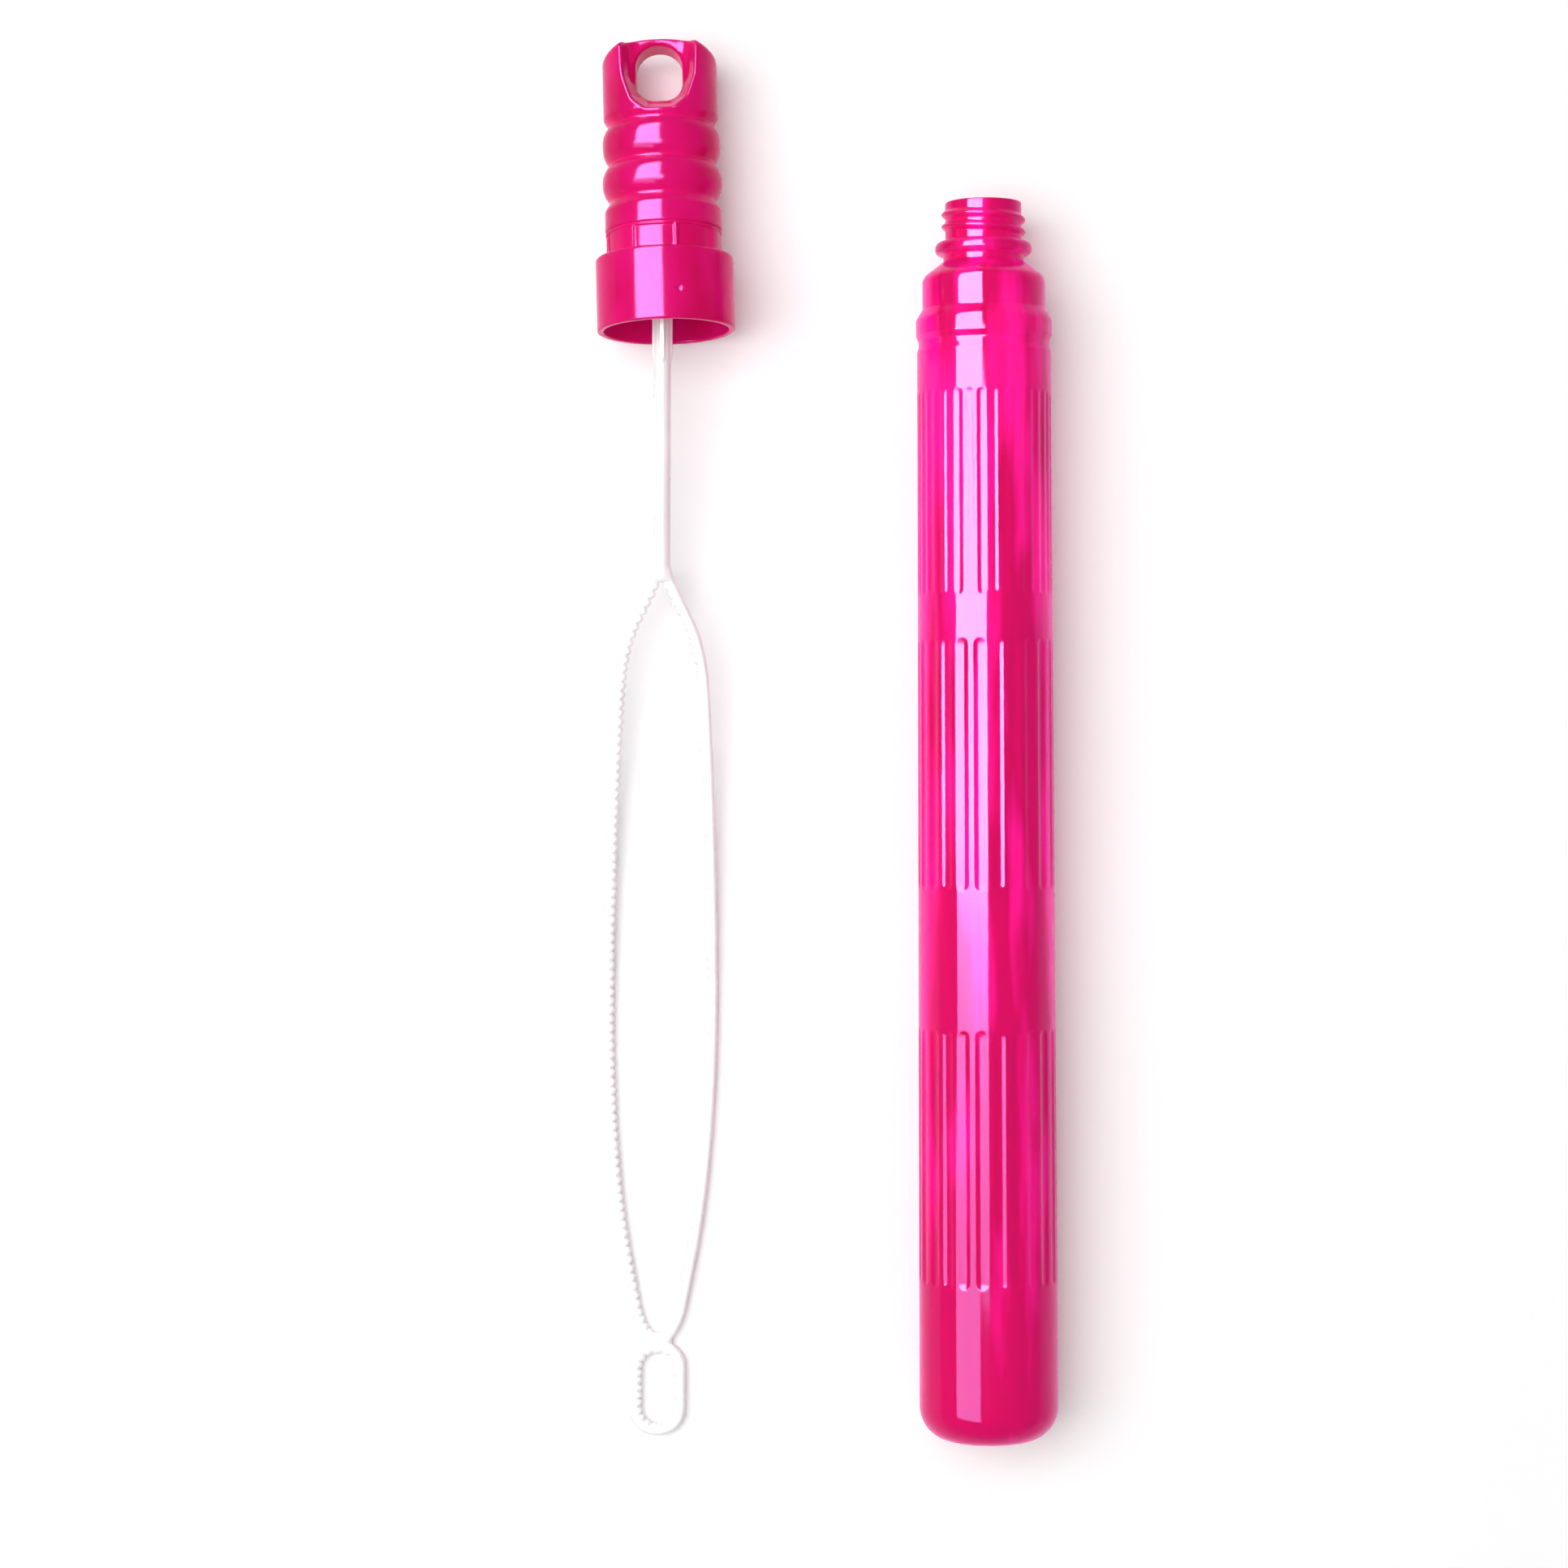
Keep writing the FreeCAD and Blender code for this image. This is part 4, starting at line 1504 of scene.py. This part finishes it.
    def teeth(self, count: int) -> np.ndarray:
        """How far each of a number of outline points stands out on its tooth, up to 1."""
        return np.abs(np.sin(np.arange(count) / self.tooth_points * math.pi)) ** self.tooth_fullness

    def curve(self) -> tuple[Points, Points]:
        """Draws one outer edge of the long loop.

        Returns:
            Its points at even steps, and the direction inward at each.
        """
        shares = np.array(self.loop_shares)
        knots = np.stack(
            [
                shares[:, 1] * self.loop_half,
                self.loop_start + shares[:, 0] * (self.loop_end - self.loop_start),
            ],
            1,
        )
        fine = spline(knots, self.curve_points)
        run = run_along(fine)
        steps = int(run[-1] // self.tooth_pitch) * self.tooth_points
        even = np.linspace(0, run[-1], steps + 1)
        points = np.stack([np.interp(even, run, fine[:, axis]) for axis in range(2)], 1)
        heading = np.gradient(points, axis=0)
        heading /= np.linalg.norm(heading, axis=1, keepdims=True)
        return points, np.stack([-heading[:, 1], heading[:, 0]], 1)

    def long_loop(self) -> tuple[Points, Points]:
        """Draws the long loop.

        Returns:
            Its outer outline and its toothed inner one.
        """
        points, inward = self.curve()
        tooth = self.teeth(len(points))
        inside = points + inward * (self.loop_member + self.tooth_depth * tooth)[:, None]
        keep = inside[:, 0] > self.inner_least
        first, last = np.flatnonzero(keep)[[0, -1]]
        inside = inside[first : last + 1]
        inside = inside[(inside[:, 1] >= inside[0, 1]) & (inside[:, 1] <= inside[-1, 1])]
        return (
            np.concatenate([points, points[::-1] * self.MIRROR]),
            np.concatenate([inside, inside[::-1] * self.MIRROR]),
        )

    def tip_loop(self) -> tuple[Points, Points]:
        """Draws the tip loop.

        Returns:
            Its outer outline and its toothed inner one.
        """
        ends, back = (self.tip_start, self.tip_end), (self.tip_end, self.tip_start)
        outer = rounded_outline(
            [
                *two_corners(self.tip_half, ends, self.tip_round, self.tip_round),
                *two_corners(-self.tip_half, back, self.tip_round, self.tip_round),
            ],
            True,
        )
        half = self.tip_half - self.tip_member
        straight = (self.tip_end - self.tip_start) / 2 - self.tip_half
        length = straight * 4 + half * math.tau
        count = int(length // self.tip_pitch) * self.tooth_points
        run = np.arange(count) / count * length
        lap = straight * 2 + half * math.pi
        sense = np.where(run < lap, 1.0, -1.0)
        leg = run % lap
        turn = np.maximum(leg - straight * 2, 0) / half
        reach = half - self.tip_depth * self.teeth(count)
        along = np.minimum(leg, straight * 2) - straight + reach * np.sin(turn)
        inner = np.stack(
            [sense * reach * np.cos(turn), (self.tip_start + self.tip_end) / 2 + sense * along],
            1,
        )
        return outer, inner

    def field(self, points: Points) -> np.ndarray:
        """Measures how far points are from the straight wand's skin.

        Args:
            points: points across, along and high.

        Returns:
            Their distances, negative in the plastic.
        """
        across, along, high = points.T
        flat = self.plan(np.abs(across), along) + self.edge_round
        level = np.abs(high) - self.thick / 2 + self.edge_round
        outer = np.hypot(np.maximum(flat, 0), np.maximum(level, 0))
        loops = np.minimum(np.maximum(flat, level), 0) + outer - self.edge_round
        bar = np.hypot(across, high) - self.stem_r
        bar = smooth_max(bar, along - self.stem_end, self.stem_end_round)
        stem = smooth_min(bar, self.webs(across, along, high), self.web_join)
        stem = np.maximum(stem, self.stem_start - along)
        whole = smooth_min(loops, stem, self.loop_join)
        return smooth_min(whole, self.head(across, along, high), self.head_join)

    def webs(self, across: np.ndarray, along: np.ndarray, high: np.ndarray) -> np.ndarray:
        """Measures distances from the crossed webs that stiffen the stem next to the head.

        Args:
            across: places of the points across.
            along: their stations.
            high: their heights.

        Returns:
            The distances, negative in the webs.
        """
        long_half, short_half = self.web_half
        side, up = np.abs(across), np.abs(high)
        broad = smooth_max(side - long_half, up - short_half, self.web_round)
        tall = smooth_max(up - long_half, side - short_half, self.web_round)
        crossed = smooth_min(broad, tall, self.web_round)
        return smooth_max(crossed, along - self.web_end, self.web_end_round)

    def head(self, across: np.ndarray, along: np.ndarray, high: np.ndarray) -> np.ndarray:
        """Measures distances from the disc and the spigot that snap into the grip.

        Args:
            across: places of the points across.
            along: their stations.
            high: their heights.

        Returns:
            The distances, negative in the head.
        """
        turn = math.radians(self.head_yaw_deg)
        side = across * math.cos(turn) + along * math.sin(turn)
        run = along * math.cos(turn) - across * math.sin(turn)
        radius = np.hypot(side, high)
        disc_half, spigot_half = self.head_thick / 2, self.spigot_end / 2
        disc = smooth_max(
            radius - self.head_r, np.abs(run + disc_half) - disc_half, self.head_round
        )
        spigot = smooth_max(
            radius - self.spigot_r, np.abs(run + spigot_half) - spigot_half, self.spigot_round
        )
        return smooth_min(disc, np.maximum(spigot, run + self.spigot_sink), self.spigot_join)

    def build(self) -> None:
        """Makes the wand."""
        points, faces = Caster(self.field, self.space, self.cell).mesh()
        piece = add_piece(
            "visual_bubble_wand", self.droop.placed(points), faces, WHITE_WAND,
            Body.WAND,
        )
        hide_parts("bubble_wand")


def spline(knots: Points, count: int) -> Points:
    """Draws a natural cubic curve, spaced by the length of its chords.

    Args:
        knots: the points that it runs through.
        count: number of points to draw it with.

    Returns:
        Points along the curve.
    """
    place = run_along(knots)
    gaps = np.diff(place)
    size = len(knots)
    system = np.zeros((size, size))
    side = np.zeros_like(knots)
    system[0, 0] = system[-1, -1] = 1
    slopes = np.diff(knots, axis=0) / gaps[:, None]
    for row in range(1, size - 1):
        system[row, row - 1 : row + 2] = gaps[row - 1], 2 * (gaps[row - 1] + gaps[row]), gaps[row]
        side[row] = 6 * (slopes[row] - slopes[row - 1])
    bend = np.linalg.solve(system, side)
    at = np.linspace(0, place[-1], count)
    piece = np.clip(np.searchsorted(place, at, "right") - 1, 0, size - 2)
    gap, low, high = gaps[piece][:, None], at - place[piece], place[piece + 1] - at
    low, high = low[:, None], high[:, None]
    return (
        bend[piece] * high**3 / (6 * gap)
        + bend[piece + 1] * low**3 / (6 * gap)
        + (knots[piece] / gap - bend[piece] * gap / 6) * high
        + (knots[piece + 1] / gap - bend[piece + 1] * gap / 6) * low
    )


@dataclass
class SealingWasher:
    """The soft ring under the wand's head.

    Args:
        seat: where the cap that holds it lies.
        bore_r: radius of its hole.
        outer_r: its own radius.
        front: station of its front face in the cap.
        thick: its thickness.
        edge_round: rounding of its edges.
        columns: number of mesh columns around.
    """

    seat: CapSeat
    bore_r: float = 6.2
    outer_r: float = 11.15
    front: float = 28.4
    thick: float = 1.5
    edge_round: float = 0.3
    columns: int = 180

    def build(self) -> None:
        """Makes the washer."""
        back = self.front + self.thick
        outline = rounded_outline(
            [
                (self.bore_r, self.front, self.edge_round),
                *two_corners(self.outer_r, (self.front, back), self.edge_round, self.edge_round),
                (self.bore_r, back, self.edge_round),
            ],
            True,
        )
        turn = np.arange(self.columns) / self.columns * math.tau
        radius, along = outline[:, :1], np.repeat(outline[:, 1:], self.columns, 1)
        rings = np.stack([np.sin(turn) * radius, along, np.cos(turn) * radius], -1)
        points, faces = turned_grid(rings, True)
        piece = add_piece(
            "visual_sealing_washer", self.seat.placed(points), faces, WHITE_FOAM,
            Body.SEAL,
        )
        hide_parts("sealing_washer")


@dataclass(frozen=True)
class SoftBox:
    """A soft box that hangs over the table and faces down.

    Args:
        name: its name.
        west: its edge towards -X.
        east: its edge towards +X.
        radiance: its brightness, where white is 1.
        steps: places along it towards +Y, from edge to edge, and the share of its
            brightness at each.
        seen_in_gloss: whether it shows in highlights and lights no colour, or the reverse.
        height: how high it hangs.
    """

    name: str
    west: float
    east: float
    radiance: float
    steps: tuple[Pair, ...]
    seen_in_gloss: bool = True
    height: float = 1500.0

    def build(self) -> None:
        """Hangs the soft box."""
        south, north = self.steps[0][0], self.steps[-1][0]
        lamp = bpy.data.lights.new(self.name, "AREA")
        lamp.shape = "RECTANGLE"
        lamp.size = (self.east - self.west) * MM
        lamp.size_y = (north - south) * MM
        lamp.energy = self.radiance * math.pi * lamp.size * lamp.size_y
        lamp.use_nodes = True
        tree = lamp.node_tree
        place = tree.nodes.new("ShaderNodeNewGeometry")
        parts = tree.nodes.new("ShaderNodeSeparateXYZ")
        ramp = grey_ramp(tree, self.steps)
        tree.links.new(place.outputs["Parametric"], parts.inputs["Vector"])
        tree.links.new(parts.outputs["Y"], ramp.inputs["Fac"])
        tree.links.new(ramp.outputs["Color"], tree.nodes["Emission"].inputs["Strength"])
        hung = bpy.data.objects.new(self.name, lamp)
        middle = ((self.west + self.east) / 2, (south + north) / 2, self.height)
        hung.location = [value * MM for value in middle]
        hung.visible_glossy = self.seen_in_gloss
        hung.visible_diffuse = not self.seen_in_gloss
        bpy.context.scene.collection.objects.link(hung)


SOFT_BOXES = (
    SoftBox(
        "key_light", -1760.0, 0.0, 4.7, ((-550.0, 0.8), (770.0, 1.0)),
        seen_in_gloss=False, height=1650.0,
    ),
    SoftBox(
        "shine_north", -1800.0, -110.0, 99.0, ((235.0, 1.0), (430.0, 0.95), (2400.0, 0.8))
    ),
    SoftBox(
        "shine_middle", -1960.0, 20.0, 99.0,
        ((-350.0, 0.2), (-227.0, 0.28), (-136.0, 0.42), (-40.0, 1.0), (235.0, 1.0)),
    ),
    SoftBox("shine_south", -2300.0, -400.0, 110.0, ((-900.0, 0.18), (-350.0, 0.2))),
)


@dataclass
class Studio:
    """The white table, the soft boxes and the pale room.

    Args:
        floor_half: half the side of the floor.
        floor_colour: its colour.
        floor_roughness: its roughness.
        floor_lift: emission that lifts it to white where it is looked at.
        room_light: strength of the room's light.
    """

    floor_half: float = 3000.0
    floor_colour: Colour = (0.9, 0.9, 0.9)
    floor_roughness: float = 0.9
    floor_lift: float = 0.1
    room_light: float = 0.45

    def build(self) -> None:
        """Lays the floor, hangs the soft boxes and sets the room."""
        self._floor()
        for box in SOFT_BOXES:
            box.build()
        self._room()

    def _room(self) -> None:
        """Makes the room, white for the camera and pale for the light."""
        world = bpy.data.worlds.new("pale_room")
        bpy.context.scene.world = world
        world.use_nodes = True
        tree = world.node_tree
        sky = tree.nodes["Background"]
        set_inputs(sky, {"Color": FULL_WHITE})
        rays = tree.nodes.new("ShaderNodeLightPath")
        strength = tree.nodes.new("ShaderNodeMix")
        set_inputs(strength, {"A": self.room_light, "B": 1.0})
        tree.links.new(rays.outputs["Is Camera Ray"], strength.inputs["Factor"])
        tree.links.new(strength.outputs["Result"], sky.inputs["Strength"])

    def _floor(self) -> None:
        """Lays the table."""
        half = self.floor_half * MM
        mesh = bpy.data.meshes.new("floor")
        square = [(-half, -half, 0), (half, -half, 0), (half, half, 0), (-half, half, 0)]
        mesh.from_pydata(square, [], [(0, 1, 2, 3)])
        mesh.materials.append(self._table_white())
        floor = bpy.data.objects.new("floor", mesh)
        bpy.context.scene.collection.objects.link(floor)

    def _table_white(self) -> bpy.types.Material:
        """Makes the table's finish, lifted to white for the camera, gloss and see-through.

        Returns:
            The new material.
        """
        mat = bpy.data.materials.new("white_table")
        mat.use_nodes = True
        tree = mat.node_tree
        shader = tree.nodes["Principled BSDF"]
        set_inputs(shader, {
            "Roughness": self.floor_roughness,
            "Specular IOR Level": 0.0,
            "Base Color": (*self.floor_colour, 1.0),
            "Emission Color": FULL_WHITE,
        })
        rays = tree.nodes.new("ShaderNodeLightPath").outputs
        seen = rays["Is Camera Ray"]
        for kind in ("Is Glossy Ray", "Is Transmission Ray"):
            seen = worked_out(tree, "MAXIMUM", seen, rays[kind])
        lift = worked_out(tree, "MULTIPLY", seen, self.floor_lift)
        tree.links.new(lift, shader.inputs["Emission Strength"])
        return mat


@dataclass
class Viewpoint:
    """The camera straight above the table, as in the photograph.

    Args:
        foot: place on the table that it hangs over.
        height: how high it hangs.
        across: width of the picture at the bottle's axis.
        across_height: height of that axis.
        roll_deg: turn of the picture.
        shift_up: shift of the picture, as a share of its width.
        sensor: width of the sensor.
        far: how far it sees, in metres.
    """

    foot: Pair = (-10.85, -5.56)
    height: float = 960.0
    across: float = 401.3
    across_height: float = 17.7
    roll_deg: float = -0.27
    shift_up: float = -0.0135
    sensor: float = 36.0
    far: float = 20.0

    def build(self) -> None:
        """Makes the camera and hands it to the scene."""
        data = bpy.data.cameras.new("view_from_above")
        data.sensor_width = self.sensor
        data.lens = self.sensor * (self.height - self.across_height) / self.across
        data.shift_y = self.shift_up
        data.clip_end = self.far
        camera = bpy.data.objects.new("view_from_above", data)
        camera.location = (self.foot[0] * MM, self.foot[1] * MM, self.height * MM)
        camera.rotation_euler = (0.0, 0.0, math.radians(self.roll_deg))
        bpy.context.scene.collection.objects.link(camera)
        bpy.context.scene.camera = camera


def main() -> None:
    """Builds the scene in order."""
    logging.basicConfig(level=logging.INFO, format="%(message)s")
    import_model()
    bpy.context.scene.view_settings.view_transform = "Standard"
    seat = CapSeat()
    for part in (Bottle(), CapHandle(seat), Wand(Droop()), SealingWasher(seat)):
        part.build()
    Studio().build()
    Viewpoint().build()


if __name__ == "__main__":
    main()
